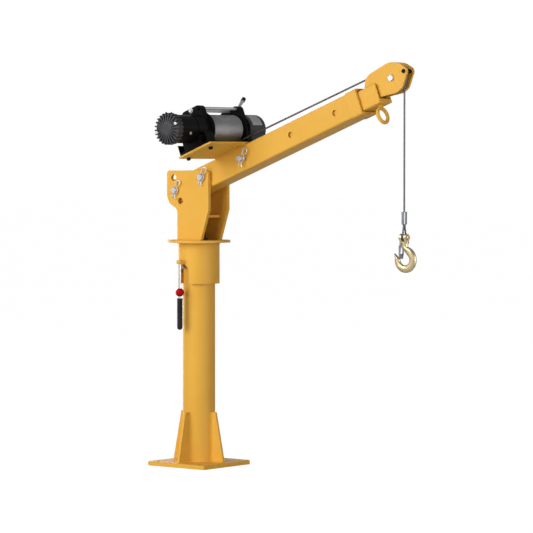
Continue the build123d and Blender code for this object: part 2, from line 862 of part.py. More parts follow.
# Bronze bush in the sheave
with BuildPart() as sheave_bush:
    with BuildSketch(side_at(sheave_width / 2, sheave_s, sheave_n)):
        Circle(sheave_bore_r)
        Circle(sheave_pin_d / 2 + run_gap, mode=Mode.SUBTRACT)
    extrude(amount=sheave_width)
save(sheave_bush.part, "sheave_bush")

# Tie ring welded under the inner boom, its hole along the boom
ring_major = (ring_od - ring_wire) / 2
ring_plane = Plane(origin=boom_point(ring_s, 0, ring_n), x_dir=across, z_dir=boom_dir)
with BuildPart(ring_plane) as tie_ring:
    Torus(ring_major, ring_wire / 2)
    with BuildSketch(deck_at(ring_s, 0, ring_n + ring_major)):
        Circle(ring_shank_d / 2)
    extrude(amount=-ring_n - inner_half - ring_major)
save(tie_ring.part, "tie_ring")

# Winch plate welded on the boom's top
winch_plate_mid = (winch_plate_rear + winch_plate_front) / 2
foot_holes = [(winch_s + side * foot_pitch / 2, y) for side in (-1, 1) for y in (foot_near_y, foot_far_y)]
spare_holes = [(winch_s + side * foot_pitch / 2, spare_hole_y) for side in (-1, 1)]
boom_top = deck_at(0, 0, boom_half)
with BuildPart() as winch_plate:
    with BuildSketch(boom_top):
        with Locations((winch_plate_mid, (winch_plate_far - winch_plate_near) / 2)):
            Rectangle(winch_plate_front - winch_plate_rear, winch_plate_near + winch_plate_far)
        with Locations(*foot_holes, *spare_holes):
            Circle(foot_hole_d / 2, mode=Mode.SUBTRACT)
    extrude(amount=winch_plate_thick)
save(winch_plate.part, "winch_plate")

# Four bolts and nuts through the winch's feet
foot_top = plate_top + foot_thick
with BuildPart() as winch_bolts:
    for s, y in foot_holes:
        with BuildSketch(deck_at(s, y, boom_half - foot_nut - foot_bolt_end)):
            Circle(foot_bolt_d / 2)
        extrude(amount=foot_top - boom_half + foot_nut + foot_bolt_end)
        for low, height in ((foot_top, foot_bolt_head), (boom_half - foot_nut, foot_nut)):
            with BuildSketch(deck_at(s, y, low)):
                RegularPolygon(foot_bolt_flat / 2, 6, major_radius=False)
            extrude(amount=height)
save(winch_bolts.part, "winch_bolts")

# Bolt holes of a winch foot and the drum's journal bore, cut from each support
journal_bore_r = journal_d / 2 + run_gap
foot_front = foot_pitch / 2 + foot_over


def support_outline():
    """Upright of a drum support about the winch axis, in s and n."""
    low = plate_top - winch_n
    with BuildSketch() as outline:
        with BuildLine():
            Line((-support_rear, low), (support_front, low))
            Line((support_front, low), (support_front, support_top - support_round))
            RadiusArc(
                (support_front, support_top - support_round),
                (support_front - support_round, support_top),
                -support_round,
            )
            Line((support_front - support_round, support_top), (support_shoulder - support_rear, support_top))
            RadiusArc(
                (support_shoulder - support_rear, support_top),
                (-support_rear, support_top - support_shoulder),
                -support_shoulder,
            )
            Line((-support_rear, support_top - support_shoulder), (-support_rear, low))
        make_face()
    return outline.sketch_local


# Motor-side support: upright, boss for the motor, and foot
motor_flange_y = support_near_y - support_thick
with BuildPart() as motor_support:
    with BuildSketch(side_at(support_near_y, winch_s, winch_n)):
        add(support_outline())
    extrude(amount=support_thick)
    with BuildSketch(deck_at(winch_s, support_near_y - foot_depth / 2, plate_top)):
        Rectangle(2 * foot_front, foot_depth)
    extrude(amount=foot_thick)
    saddle_depth = foot_depth - support_thick
    with BuildSketch(deck_at(winch_s, motor_flange_y - saddle_depth / 2, plate_top)):
        Rectangle(2 * foot_front, saddle_depth)
    extrude(amount=saddle_height)
    with BuildSketch(deck_at(winch_s, motor_flange_y - saddle_depth + pocket_depth / 2, foot_top)):
        with Locations((-foot_pitch / 2, 0), (foot_pitch / 2, 0)):
            Rectangle(pocket_width, pocket_depth)
    extrude(amount=winch_n - foot_top, mode=Mode.SUBTRACT)
    with BuildSketch(side_at(motor_flange_y, winch_s, winch_n)):
        Circle(motor_boss_r)
    extrude(amount=motor_flange_y - motor_boss_y)
    with BuildSketch(side_at(support_near_y, winch_s, winch_n)):
        Circle(journal_bore_r)
    extrude(amount=support_near_y - motor_boss_y, mode=Mode.SUBTRACT)
    with BuildSketch(boom_top):
        with Locations(*foot_holes):
            Circle(foot_hole_d / 2)
    extrude(amount=foot_top, mode=Mode.SUBTRACT)
save(motor_support.part, "motor_support")

# Gear-side support: upright and foot
gear_face_y = support_far_y + support_thick
with BuildPart() as gear_support:
    with BuildSketch(side_at(gear_face_y, winch_s, winch_n)):
        add(support_outline())
    extrude(amount=support_thick)
    with BuildSketch(deck_at(winch_s, support_far_y + gear_foot_depth / 2, plate_top)):
        Rectangle(2 * foot_front, gear_foot_depth)
    extrude(amount=foot_thick)
    with BuildSketch(side_at(gear_face_y, winch_s, winch_n)):
        Circle(journal_bore_r)
    extrude(amount=support_thick, mode=Mode.SUBTRACT)
    with BuildSketch(boom_top):
        with Locations(*foot_holes):
            Circle(foot_hole_d / 2)
    extrude(amount=foot_top, mode=Mode.SUBTRACT)
save(gear_support.part, "gear_support")

# Two tie bars between the supports
with BuildPart() as tie_bars:
    for bar_s, bar_n in (tie_bar_front, tie_bar_rear):
        with BuildSketch(side_at(support_far_y, winch_s + bar_s, winch_n + bar_n)):
            Circle(tie_bar_d / 2)
        extrude(amount=support_far_y - support_near_y)
save(tie_bars.part, "tie_bars")

# Motor can on the motor-side boss
with BuildPart() as motor_can:
    with BuildSketch(side_at(motor_boss_y, winch_s, winch_n)):
        Circle(motor_r)
        Circle(motor_r - motor_wall, mode=Mode.SUBTRACT)
    extrude(amount=motor_boss_y - motor_end_y)
save(motor_can.part, "motor_can")

# Finned end cap of the motor, with the shaft's end bearing
fin_face_y = motor_end_y - cap_thick
cap_center = boom_point(winch_s, 0, winch_n)
with BuildPart() as motor_end_cap:
    with BuildSketch(side_at(motor_end_y, winch_s, winch_n)):
        Circle(cap_r)
    extrude(amount=cap_thick)
    with BuildSketch(side_at(fin_face_y, winch_s, winch_n)):
        Circle(fin_hub_r)
    extrude(amount=fin_face_y - fin_end_y)
    for fin in range(fin_count):
        fin_turn = radians(360 * fin / fin_count)
        fin_out = boom_dir * cos(fin_turn) + boom_normal * sin(fin_turn)
        with BuildSketch(Plane(origin=cap_center, x_dir=fin_out, z_dir=fin_out.cross(across * -1))):
            with BuildLine():
                Polyline(
                    (fin_hub_r / 2, -fin_face_y - fin_root),
                    (fin_hub_r / 2, -fin_end_y),
                    (fin_hub_r, -fin_end_y),
                    (fin_r, -fin_end_y - fin_slope),
                    (fin_r, -motor_end_y),
                    (cap_r - fin_root, -motor_end_y),
                    (cap_r - fin_root, -fin_face_y - fin_root),
                    close=True,
                )
            make_face()
        extrude(amount=fin_thick / 2, both=True)
    with BuildSketch(side_at(motor_end_y, winch_s, winch_n)):
        Circle(shaft_d / 2 + run_gap)
    extrude(amount=shaft_seat + free_gap, mode=Mode.SUBTRACT)
save(motor_end_cap.part, "motor_end_cap")

# Armature with its commutator on the motor shaft
armature_y = motor_end_y + commutator_length + free_gap * 10
with BuildPart() as motor_armature:
    with BuildSketch(side_at(armature_y + armature_length, winch_s, winch_n)):
        Circle(armature_r)
    extrude(amount=armature_length)
    with BuildSketch(side_at(armature_y, winch_s, winch_n)):
        Circle(commutator_r)
    extrude(amount=commutator_length)
    with BuildSketch(side_at(armature_y + armature_length, winch_s, winch_n)):
        Circle(shaft_d / 2)
    extrude(amount=armature_length + commutator_length, mode=Mode.SUBTRACT)
save(motor_armature.part, "motor_armature")


def involute(base_r, radius):
    """Polar angle in radians of the involute of base_r at a radius."""
    roll = sqrt(max((radius / base_r) ** 2 - 1, 0))
    return roll - atan(roll)


def gear_outline(teeth, low_r, high_r, thicker, phase):
    """Closed outline of a gear with involute flanks between two radii, one tooth centred on phase."""
    pitch_r = gear_module * teeth / 2
    base_r = pitch_r * cos(radians(pressure_angle))
    half_pitch = pi / (2 * teeth) + thicker / pitch_r
    flank = []
    for share in (0, 0.35, 0.7, 1):
        radius = low_r + (high_r - low_r) * share
        lean = involute(base_r, pitch_r) - involute(base_r, max(radius, base_r))
        flank.append((radius, half_pitch + lean))
    points = []
    for tooth in range(teeth):
        middle = radians(phase) + 2 * pi * tooth / teeth
        points += [(r * cos(middle - a), r * sin(middle - a)) for r, a in flank]
        points += [(r * cos(middle + a), r * sin(middle + a)) for r, a in reversed(flank)]
    with BuildSketch() as outline:
        with BuildLine():
            Polyline(*points, close=True)
        make_face()
    return outline.sketch_local


# Drive shaft through the drum, with the sun gear
gear_low_y = gear_face_y + carrier_thick + 2 * free_gap
gear_high_y = gear_low_y + gear_width
sun_r = gear_module * sun_teeth / 2
shaft_low_y = motor_end_y - shaft_seat
with BuildPart() as sun_shaft:
    with BuildSketch(side_at(gear_low_y, winch_s, winch_n)):
        Circle(shaft_d / 2)
    extrude(amount=gear_low_y - shaft_low_y)
    with BuildSketch(side_at(gear_high_y, winch_s, winch_n)):
        sun_low_r = sun_r - tooth_root * gear_module
        sun_high_r = sun_r + tooth_tip * gear_module
        add(gear_outline(sun_teeth, sun_low_r, sun_high_r, -tooth_play, 0))
    extrude(amount=gear_width)
save(sun_shaft.part, "sun_shaft")

# Ring gear fixed in the gear housing
ring_r = gear_module * ring_teeth / 2
housing_bore_r = gear_housing_r - gear_housing_wall
with BuildPart() as ring_gear:
    with BuildSketch(side_at(gear_high_y + ring_overhang, winch_s, winch_n)):
        Circle(housing_bore_r)
    extrude(amount=gear_width + 2 * ring_overhang)
    with BuildSketch(side_at(gear_high_y + ring_overhang, winch_s, winch_n)):
        ring_low_r = ring_r - tooth_tip * gear_module
        ring_high_r = ring_r + tooth_root * gear_module
        add(gear_outline(ring_teeth, ring_low_r, ring_high_r, tooth_play, 180 / ring_teeth))
    extrude(amount=gear_width + 2 * ring_overhang, mode=Mode.SUBTRACT)
save(ring_gear.part, "ring_gear")

# Planet gears, each with a gap towards the sun
planet_r = gear_module * planet_teeth / 2
for planet in range(planet_count):
    turn = 360 * planet / planet_count
    planet_s = winch_s + planet_radius * cos(radians(turn))
    planet_n = winch_n + planet_radius * sin(radians(turn))
    with BuildPart() as planet_gear:
        with BuildSketch(side_at(gear_high_y, planet_s, planet_n)):
            planet_low_r = planet_r - tooth_root * gear_module
            planet_high_r = planet_r + tooth_tip * gear_module
            planet_phase = turn + 180 + 180 / planet_teeth
            add(gear_outline(planet_teeth, planet_low_r, planet_high_r, -tooth_play, planet_phase))
            Circle(planet_post_d / 2 + run_gap, mode=Mode.SUBTRACT)
        extrude(amount=gear_width)
    save(planet_gear.part, f"planet_gear_{planet + 1}")

# Gear housing: a cup over the gears, with a boss for the clutch lever
clutch_out_n = sqrt(gear_housing_r**2 - clutch_s**2)
clutch_dir = (boom_dir * clutch_s + boom_normal * clutch_out_n).normalized()
clutch_base = boom_point(winch_s, clutch_y, winch_n)
boss_top_r = gear_housing_r + clutch_boss_height
with BuildPart() as gear_housing:
    with BuildSketch(side_at(gear_housing_end_y, winch_s, winch_n)):
        Circle(gear_housing_r)
    extrude(amount=gear_housing_end_y - gear_face_y)
    fillet(gear_housing.faces().sort_by(Axis.Y)[-1].edges(), gear_housing_wall / 2)
    with BuildSketch(Plane(origin=clutch_base, x_dir=across, z_dir=clutch_dir)):
        Circle(clutch_boss_d / 2)
    extrude(amount=boss_top_r)
    with BuildSketch(Plane(origin=clutch_base + clutch_dir * boss_top_r, x_dir=across, z_dir=clutch_dir)):
        Circle(clutch_pivot_d / 2)
    extrude(amount=clutch_hub_height + face_gap)
    with BuildSketch(side_at(gear_housing_end_y - gear_end_wall, winch_s, winch_n)):
        Circle(housing_bore_r)
    extrude(amount=gear_housing_end_y - gear_end_wall - gear_face_y, mode=Mode.SUBTRACT)
save(gear_housing.part, "gear_housing")

# Clutch lever: hub on the boss, tapered plated arm
hub_low = boss_top_r + face_gap
arm_dir = (clutch_dir * cos(radians(clutch_tilt)) + across * sin(radians(clutch_tilt))).normalized()
arm_root = clutch_base + clutch_dir * (hub_low + clutch_hub_height * 0.6)
with BuildPart() as clutch_lever:
    with BuildSketch(Plane(origin=clutch_base + clutch_dir * hub_low, x_dir=across, z_dir=clutch_dir)):
        Circle(clutch_hub_d / 2)
    extrude(amount=clutch_hub_height + face_gap * 10)
    with BuildSketch(Plane(origin=arm_root, z_dir=arm_dir)):
        Circle(clutch_arm_root_d / 2)
    with BuildSketch(Plane(origin=arm_root + arm_dir * clutch_arm_length, z_dir=arm_dir)):
        Circle(clutch_arm_tip_d / 2)
    loft()
    with BuildSketch(Plane(origin=clutch_base + clutch_dir * hub_low, x_dir=across, z_dir=clutch_dir)):
        Circle(clutch_pivot_d / 2 + run_gap)
    extrude(amount=clutch_hub_height + face_gap, mode=Mode.SUBTRACT)
save(clutch_lever.part, "clutch_lever")

# Black knob on the clutch lever's end
with BuildPart() as clutch_knob:
    with BuildSketch(Plane(origin=arm_root + arm_dir * clutch_arm_length, z_dir=arm_dir)):
        Circle(knob_d / 2)
    extrude(amount=knob_length)
    fillet(clutch_knob.edges(), knob_d / 6)
save(clutch_knob.part, "clutch_knob")

# Winch drum: barrel, flanges, journals and the planets' posts
drum_low_y = support_near_y + drum_side_gap
drum_high_y = support_far_y - drum_side_gap
with BuildPart() as winch_drum:
    with BuildSketch(side_at(drum_high_y, winch_s, winch_n)):
        Circle(core_r)
    extrude(amount=drum_high_y - drum_low_y)
    for high in (drum_high_y, drum_low_y + drum_flange_thick):
        with BuildSketch(side_at(high, winch_s, winch_n)):
            Circle(drum_flange_r)
        extrude(amount=drum_flange_thick)
    with BuildSketch(side_at(gear_face_y + free_gap, winch_s, winch_n)):
        Circle(journal_d / 2)
    extrude(amount=gear_face_y + free_gap - motor_flange_y)
    with BuildSketch(side_at(gear_face_y + free_gap + carrier_thick, winch_s, winch_n)):
        Circle(planet_radius + planet_post_d)
    extrude(amount=carrier_thick)
    with BuildSketch(side_at(gear_high_y, winch_s, winch_n)):
        with PolarLocations(planet_radius, planet_count):
            Circle(planet_post_d / 2)
    extrude(amount=gear_high_y - gear_face_y - carrier_thick)
    with BuildSketch(side_at(gear_high_y, winch_s, winch_n)):
        Circle(drum_bore_d / 2)
    extrude(amount=gear_high_y - motor_flange_y, mode=Mode.SUBTRACT)
save(winch_drum.part, "winch_drum")


def winding_point(turn):
    """Helix point of the winding after a number of turns, from under the drum."""
    angle = 2 * pi * turn - pi / 2
    return boom_point(
        winch_s + winding_r * cos(angle),
        winding_low_y + winding_pitch * turn,
        winch_n + winding_r * sin(angle),
    )


def winding_tangent(turn):
    """Unit direction of the winding's helix at a number of turns."""
    angle = 2 * pi * turn - pi / 2
    around = (boom_normal * cos(angle) - boom_dir * sin(angle)) * (2 * pi * winding_r)
    return (around + across * winding_pitch).normalized()


def biarc(start, start_dir, end, end_dir):
    """Middle point and its direction of the two tangent arcs between two points."""
    chord = end - start
    both = start_dir + end_dir
    square = 2 * (1 - start_dir.dot(end_dir))
    reach = chord.dot(both)
    arm = (sqrt(reach**2 + square * chord.dot(chord)) - reach) / square
    first = start + start_dir * arm
    second = end - end_dir * arm
    return (first + second) * 0.5, (second - first).normalized()


# Outer layer of the rope on the drum: one tube in half-turn biarcs
winding_low_y = drum_low_y + drum_flange_thick + winding_inset
winding_room = drum_high_y - drum_flange_thick - winding_inset - winding_low_y
half_turns = int(2 * winding_room / winding_pitch)
start_dir = winding_tangent(0)
end_turn = half_turns / 2
with BuildPart() as rope_winding:
    with BuildLine() as winding_path:
        Line(winding_point(0) - start_dir * rope_d, winding_point(0))
        for half in range(half_turns):
            here, there = winding_point(half / 2), winding_point((half + 1) / 2)
            here_dir, there_dir = winding_tangent(half / 2), winding_tangent((half + 1) / 2)
            middle, middle_dir = biarc(here, here_dir, there, there_dir)
            TangentArc(here, middle, tangent=here_dir)
            TangentArc(middle, there, tangent=middle_dir)
        Line(winding_point(end_turn), winding_point(end_turn) + winding_tangent(end_turn) * rope_d)
    with BuildSketch(Plane(origin=winding_path.wire() @ 0, z_dir=winding_path.wire() % 0)):
        Circle(rope_r)
    sweep()
save(rope_winding.part, "rope_winding")
gap_steps = 40
neighbours = [
    (winding_point(step / gap_steps) - winding_point(1 + (step + shift) / gap_steps)).length
    for step in range(gap_steps)
    for shift in range(-2, 3)
]
print("rope winding turns", end_turn, "least gap to itself", round(min(neighbours) - rope_d, 3))

# Rope from the drum's top layer to the sheave, a tangent line across the two circles
span = Vector(sheave_s - winch_s, sheave_n - winch_n)
line_angle = atan2(span.Y, span.X) + asin((rope_turn_r + rope_bend_r) / span.length)
off_drum = (winch_s + rope_turn_r * sin(line_angle), winch_n - rope_turn_r * cos(line_angle))
on_sheave = (sheave_s - rope_bend_r * sin(line_angle), sheave_n + rope_bend_r * cos(line_angle))
with BuildPart() as rope_run:
    with BuildLine(side_plane) as run_path:
        CenterArc((winch_s, winch_n), rope_turn_r, 90 + degrees(line_angle), 180)
        Line(off_drum, on_sheave)
    with BuildSketch(Plane(origin=run_path.wire() @ 0, z_dir=run_path.wire() % 0)):
        Circle(rope_r)
    sweep()
save(rope_run.part, "rope_run")

# Rope over the sheave, ending where it hangs straight down
with BuildPart() as rope_over_sheave:
    with BuildLine(side_plane) as over_path:
        over_start = 90 + degrees(line_angle)
        CenterArc((sheave_s, sheave_n), rope_bend_r, over_start, -over_start - elevation)
    with BuildSketch(Plane(origin=over_path.wire() @ 0, z_dir=over_path.wire() % 0)):
        Circle(rope_r)
    sweep()
save(rope_over_sheave.part, "rope_over_sheave")

# Hanging rope down to the ferrule
sheave_center = boom_point(sheave_s, 0, sheave_n)
drop_x = sheave_center.X + rope_bend_r
ferrule_top_z = sheave_center.Z - rope_fall_length
ferrule_bottom_z = ferrule_top_z - ferrule_length
clevis_z = ferrule_bottom_z - clevis_drop
with BuildPart() as rope_fall:
    with BuildSketch(Plane(origin=(drop_x, 0, ferrule_top_z), z_dir=(0, 0, 1))):
        Circle(rope_r)
    extrude(amount=sheave_center.Z - ferrule_top_z)
save(rope_fall.part, "rope_fall")

# Pressed ferrule that closes the rope eye
with BuildPart() as rope_ferrule:
    with BuildSketch(Plane(origin=(drop_x, 0, ferrule_bottom_z), z_dir=(0, 0, 1))):
        SlotOverall(ferrule_d + rope_d, ferrule_d, rotation=90)
    extrude(amount=ferrule_top_z - ferrule_bottom_z)
    fillet(rope_ferrule.edges().group_by(Axis.Z)[0] + rope_ferrule.edges().group_by(Axis.Z)[-1], rope_r / 2)
save(rope_ferrule.part, "rope_ferrule")

# Rope eye: two legs that spread from the ferrule round the clevis pin
eye_r = clevis_pin_d / 2 + free_gap + rope_r
leg_y = rope_r + free_gap
eye_plane = Plane(origin=(drop_x, 0, 0), x_dir=(0, 1, 0), z_dir=(1, 0, 0))
eye_straight = rope_r
leg_start_z = ferrule_bottom_z - eye_straight
leg_rise = (leg_start_z - clevis_z) / 2
leg_step = (eye_r - leg_y) / 2
leg_bend_r = (leg_rise**2 + leg_step**2) / (2 * leg_step)
leg_turn = degrees(asin(leg_rise / leg_bend_r))
with BuildPart() as rope_eye:
    with BuildLine(eye_plane) as eye_path:
        Line((leg_y, ferrule_bottom_z), (leg_y, leg_start_z))
        CenterArc((leg_y + leg_bend_r, leg_start_z), leg_bend_r, 180, leg_turn)
        CenterArc((eye_r - leg_bend_r, clevis_z), leg_bend_r, leg_turn, -leg_turn)
        CenterArc((0, clevis_z), eye_r, 0, -180)
        CenterArc((leg_bend_r - eye_r, clevis_z), leg_bend_r, 180, -leg_turn)
        CenterArc((-leg_y - leg_bend_r, leg_start_z), leg_bend_r, -leg_turn, leg_turn)
        Line((-leg_y, leg_start_z), (-leg_y, ferrule_bottom_z))
    with BuildSketch(Plane(origin=(drop_x, leg_y, ferrule_bottom_z), z_dir=(0, 0, -1))):
        Circle(rope_r)
    sweep(path=eye_path.wire())
save(rope_eye.part, "rope_eye")

# Load hook: clevis ears over a bowl that opens towards the column
hook_plane = Plane(origin=(drop_x, 0, clevis_z), x_dir=(1, 0, 0), z_dir=(0, -1, 0))
bowl = (hook_bowl_x, -hook_bowl_drop)
belly = (hook_outer_x, -hook_bowl_drop - hook_belly)
throat_angle = radians(hook_throat_angle)
throat_side = (bowl[0] + hook_bowl_r * cos(throat_angle), bowl[1] + hook_bowl_r * sin(throat_angle))
tip_inner = (bowl[0] - hook_bowl_r, bowl[1])
mouth_far = -2 * hook_outer_r
with BuildPart() as load_hook:
    with BuildSketch(hook_plane):
        with Locations(belly):
            Circle(hook_outer_r)
        with BuildLine():
            Polyline(hook_tip, (belly[0] - hook_outer_r, belly[1]), belly, tip_inner, close=True)
        make_face()
        with Locations((0, -hook_bowl_drop / 2 - clevis_crotch / 2)):
            Rectangle(hook_neck, hook_bowl_drop - clevis_crotch)
        with Locations(bowl):
            Circle(hook_bowl_r, mode=Mode.SUBTRACT)
        with BuildLine():
            Polyline(
                bowl,
                throat_side,
                hook_throat,
                (mouth_far, hook_throat[1]),
                (mouth_far, hook_tip[1]),
                hook_tip,
                tip_inner,
                close=True,
            )
        make_face(mode=Mode.SUBTRACT)
    extrude(amount=hook_thick / 2, both=True)
    for low in (clevis_gap / 2, -clevis_gap / 2 - clevis_ear):
        ear_plane = Plane(origin=(drop_x + low, 0, clevis_z), x_dir=(0, 1, 0), z_dir=(1, 0, 0))
        with BuildSketch(ear_plane):
            Circle(clevis_round_d / 2)
            with Locations((0, -clevis_crotch / 2 - hook_edge)):
                Rectangle(hook_thick, clevis_crotch + 2 * hook_edge)
        extrude(amount=clevis_ear)
    with BuildSketch(Plane(origin=(drop_x, 0, clevis_z), x_dir=(0, 1, 0), z_dir=(1, 0, 0))):
        Circle(clevis_pin_d / 2)
    extrude(amount=clevis_pin_length, both=True, mode=Mode.SUBTRACT)
    with BuildSketch(hook_plane):
        with Locations((latch_pin_x, -latch_pin_drop)):
            Circle(latch_pin_d / 2 + run_gap)
    extrude(amount=hook_thick, both=True, mode=Mode.SUBTRACT)
save(load_hook.part, "load_hook")

# Clevis pin with a head at each end
with BuildPart() as clevis_pin:
    with BuildSketch(Plane(origin=(drop_x, 0, clevis_z), x_dir=(0, 1, 0), z_dir=(1, 0, 0))):
        Circle(clevis_pin_d / 2)
    extrude(amount=clevis_pin_length / 2, both=True)
    for side in (-1, 1):
        at = drop_x + side * (clevis_gap / 2 + clevis_ear)
        with BuildSketch(Plane(origin=(at, 0, clevis_z), x_dir=(0, 1, 0), z_dir=(side, 0, 0))):
            Circle(clevis_pin_d * 0.7)
        extrude(amount=clevis_pin_length / 2 - clevis_gap / 2 - clevis_ear)
save(clevis_pin.part, "clevis_pin")

# Spring latch across the hook's mouth: two hubs, their pin and a strap
latch_half = hook_thick / 2 + free_gap
strap_end = (tip_inner[0] + latch_rise, tip_inner[1] + latch_rise)
shoulder = (latch_pin_x - latch_hub_d, -latch_pin_drop - latch_hub_d * 0.75)
strap_start = (
    shoulder[0] + (strap_end[0] - shoulder[0]) * latch_strap_from,
    shoulder[1] + (strap_end[1] - shoulder[1]) * latch_strap_from,
)
strap = Vector(strap_end[0] - strap_start[0], strap_end[1] - strap_start[1])
strap_side = Vector(-strap.Y, strap.X).normalized() * latch_width
with BuildPart() as hook_latch:
    for side in (-1, 1):
        with BuildSketch(hook_plane.offset(side * latch_half)):
            with Locations((latch_pin_x, -latch_pin_drop)):
                Circle(latch_hub_d / 2)
            with BuildLine():
                Polyline(
                    (latch_pin_x + latch_hub_d / 4, -latch_pin_drop - latch_hub_d / 3),
                    (latch_pin_x - latch_hub_d / 4, -latch_pin_drop + latch_hub_d / 3),
                    shoulder,
                    strap_end,
                    (strap_end[0] + strap_side.X, strap_end[1] + strap_side.Y),
                    close=True,
                )
            make_face()
        extrude(amount=side * latch_sheet)
    with BuildSketch(hook_plane):
        with Locations((latch_pin_x, -latch_pin_drop)):
            Circle(latch_pin_d / 2)
    extrude(amount=latch_half + latch_sheet, both=True)
    with BuildSketch(hook_plane):
        with BuildLine():
            Polyline(
                strap_start,
                strap_end,
                (strap_end[0] + strap_side.X, strap_end[1] + strap_side.Y),
                (strap_start[0] + strap_side.X, strap_start[1] + strap_side.Y),
                close=True,
            )
        make_face()
    extrude(amount=latch_half + latch_sheet, both=True)
save(hook_latch.part, "hook_latch")
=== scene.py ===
from math import cos, pi, radians, sin

import bpy
import numpy as np
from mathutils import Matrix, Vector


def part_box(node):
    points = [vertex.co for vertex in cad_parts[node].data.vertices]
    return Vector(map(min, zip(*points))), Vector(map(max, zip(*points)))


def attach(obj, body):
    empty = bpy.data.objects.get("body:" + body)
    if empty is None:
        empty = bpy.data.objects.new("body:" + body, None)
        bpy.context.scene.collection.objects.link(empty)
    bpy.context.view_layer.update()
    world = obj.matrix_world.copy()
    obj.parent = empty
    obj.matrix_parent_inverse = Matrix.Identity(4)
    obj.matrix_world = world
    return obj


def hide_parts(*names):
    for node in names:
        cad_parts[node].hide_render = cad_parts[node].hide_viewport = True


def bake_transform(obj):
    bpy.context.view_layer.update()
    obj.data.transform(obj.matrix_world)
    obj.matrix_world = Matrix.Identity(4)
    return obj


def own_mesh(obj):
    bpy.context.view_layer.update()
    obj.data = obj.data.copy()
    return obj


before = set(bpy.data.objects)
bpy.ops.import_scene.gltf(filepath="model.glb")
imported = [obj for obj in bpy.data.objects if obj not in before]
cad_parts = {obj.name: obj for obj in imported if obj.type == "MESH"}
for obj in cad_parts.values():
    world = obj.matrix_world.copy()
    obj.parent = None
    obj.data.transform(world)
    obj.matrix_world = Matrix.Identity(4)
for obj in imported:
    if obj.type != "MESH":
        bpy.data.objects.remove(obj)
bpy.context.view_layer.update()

# Base plate, gussets and column: flat bar and steel pipe, cut and welded together,
# then powder coated in one warm yellow. Rippled fillet welds run along each seam.


def finish(
    name, pale, deep, patch, gloss, grain, relief, metal=0.0, shine=0.5, edge=1.0, stretch=(1, 1, 1)
):
    """A finish on object coordinates: slow noise moves the colour from pale to deep and the
    roughness between the two gloss values, a fine noise of the given grain is the relief, and
    edge is the share of its reflection that a metal keeps at a slanting look."""
    made = bpy.data.materials.new(name)
    made.use_nodes = True
    tree = made.node_tree
    skin = tree.nodes["Principled BSDF"]
    place = tree.nodes.new("ShaderNodeTexCoord")
    turn = tree.nodes.new("ShaderNodeMapping")
    turn.inputs["Scale"].default_value = stretch
    tree.links.new(place.outputs["Object"], turn.inputs["Vector"])
    slow = tree.nodes.new("ShaderNodeTexNoise")
    slow.inputs["Scale"].default_value = patch
    slow.inputs["Detail"].default_value = 5.0
    fine = tree.nodes.new("ShaderNodeTexNoise")
    fine.inputs["Scale"].default_value = grain
    fine.inputs["Detail"].default_value = 2.0
    for cloud in (slow, fine):
        tree.links.new(turn.outputs["Vector"], cloud.inputs["Vector"])
    ramp = tree.nodes.new("ShaderNodeValToRGB")
    for stop, position, colour in zip(ramp.color_ramp.elements, (0.32, 0.68), (deep, pale)):
        stop.position = position
        stop.color = (*colour, 1)
    tree.links.new(slow.outputs["Fac"], ramp.inputs["Fac"])
    tree.links.new(ramp.outputs["Color"], skin.inputs["Base Color"])
    span = tree.nodes.new("ShaderNodeMapRange")
    span.inputs["To Min"].default_value = gloss[0]
    span.inputs["To Max"].default_value = gloss[1]
    tree.links.new(slow.outputs["Fac"], span.inputs["Value"])
    tree.links.new(span.outputs["Result"], skin.inputs["Roughness"])
    bump = tree.nodes.new("ShaderNodeBump")
    bump.inputs["Strength"].default_value = relief
    bump.inputs["Distance"].default_value = 0.0004
    tree.links.new(fine.outputs["Fac"], bump.inputs["Height"])
    tree.links.new(bump.outputs["Normal"], skin.inputs["Normal"])
    skin.inputs["Metallic"].default_value = metal
    skin.inputs["Specular IOR Level"].default_value = shine
    skin.inputs["Specular Tint"].default_value = (edge, edge, edge, 1)
    return made


def dress(material, *names):
    """The CAD nodes of these names take the material."""
    for name in names:
        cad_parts[name].data.materials.clear()
        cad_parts[name].data.materials.append(material)


def circle(sides):
    """Points evenly spaced on a circle of radius 1: the cosine and the sine of each angle."""
    turn = np.linspace(0, 2 * pi, sides, endpoint=False)
    return np.stack([np.cos(turn), np.sin(turn)], -1)


def carried(path, side, profile):
    """A profile carried along a path: each point is the path plus side times the profile's
    first number plus up times its second, with up square to the path and to side."""
    along = np.gradient(path, axis=0)
    along /= np.linalg.norm(along, axis=1, keepdims=True)
    side = np.broadcast_to(np.asarray(side, float), path.shape)
    side = side - along * np.sum(side * along, axis=1, keepdims=True)
    side = side / np.linalg.norm(side, axis=1, keepdims=True)
    up = np.cross(along, side)
    return path[:, None] + side[:, None] * profile[..., :1] + up[:, None] * profile[..., 1:]


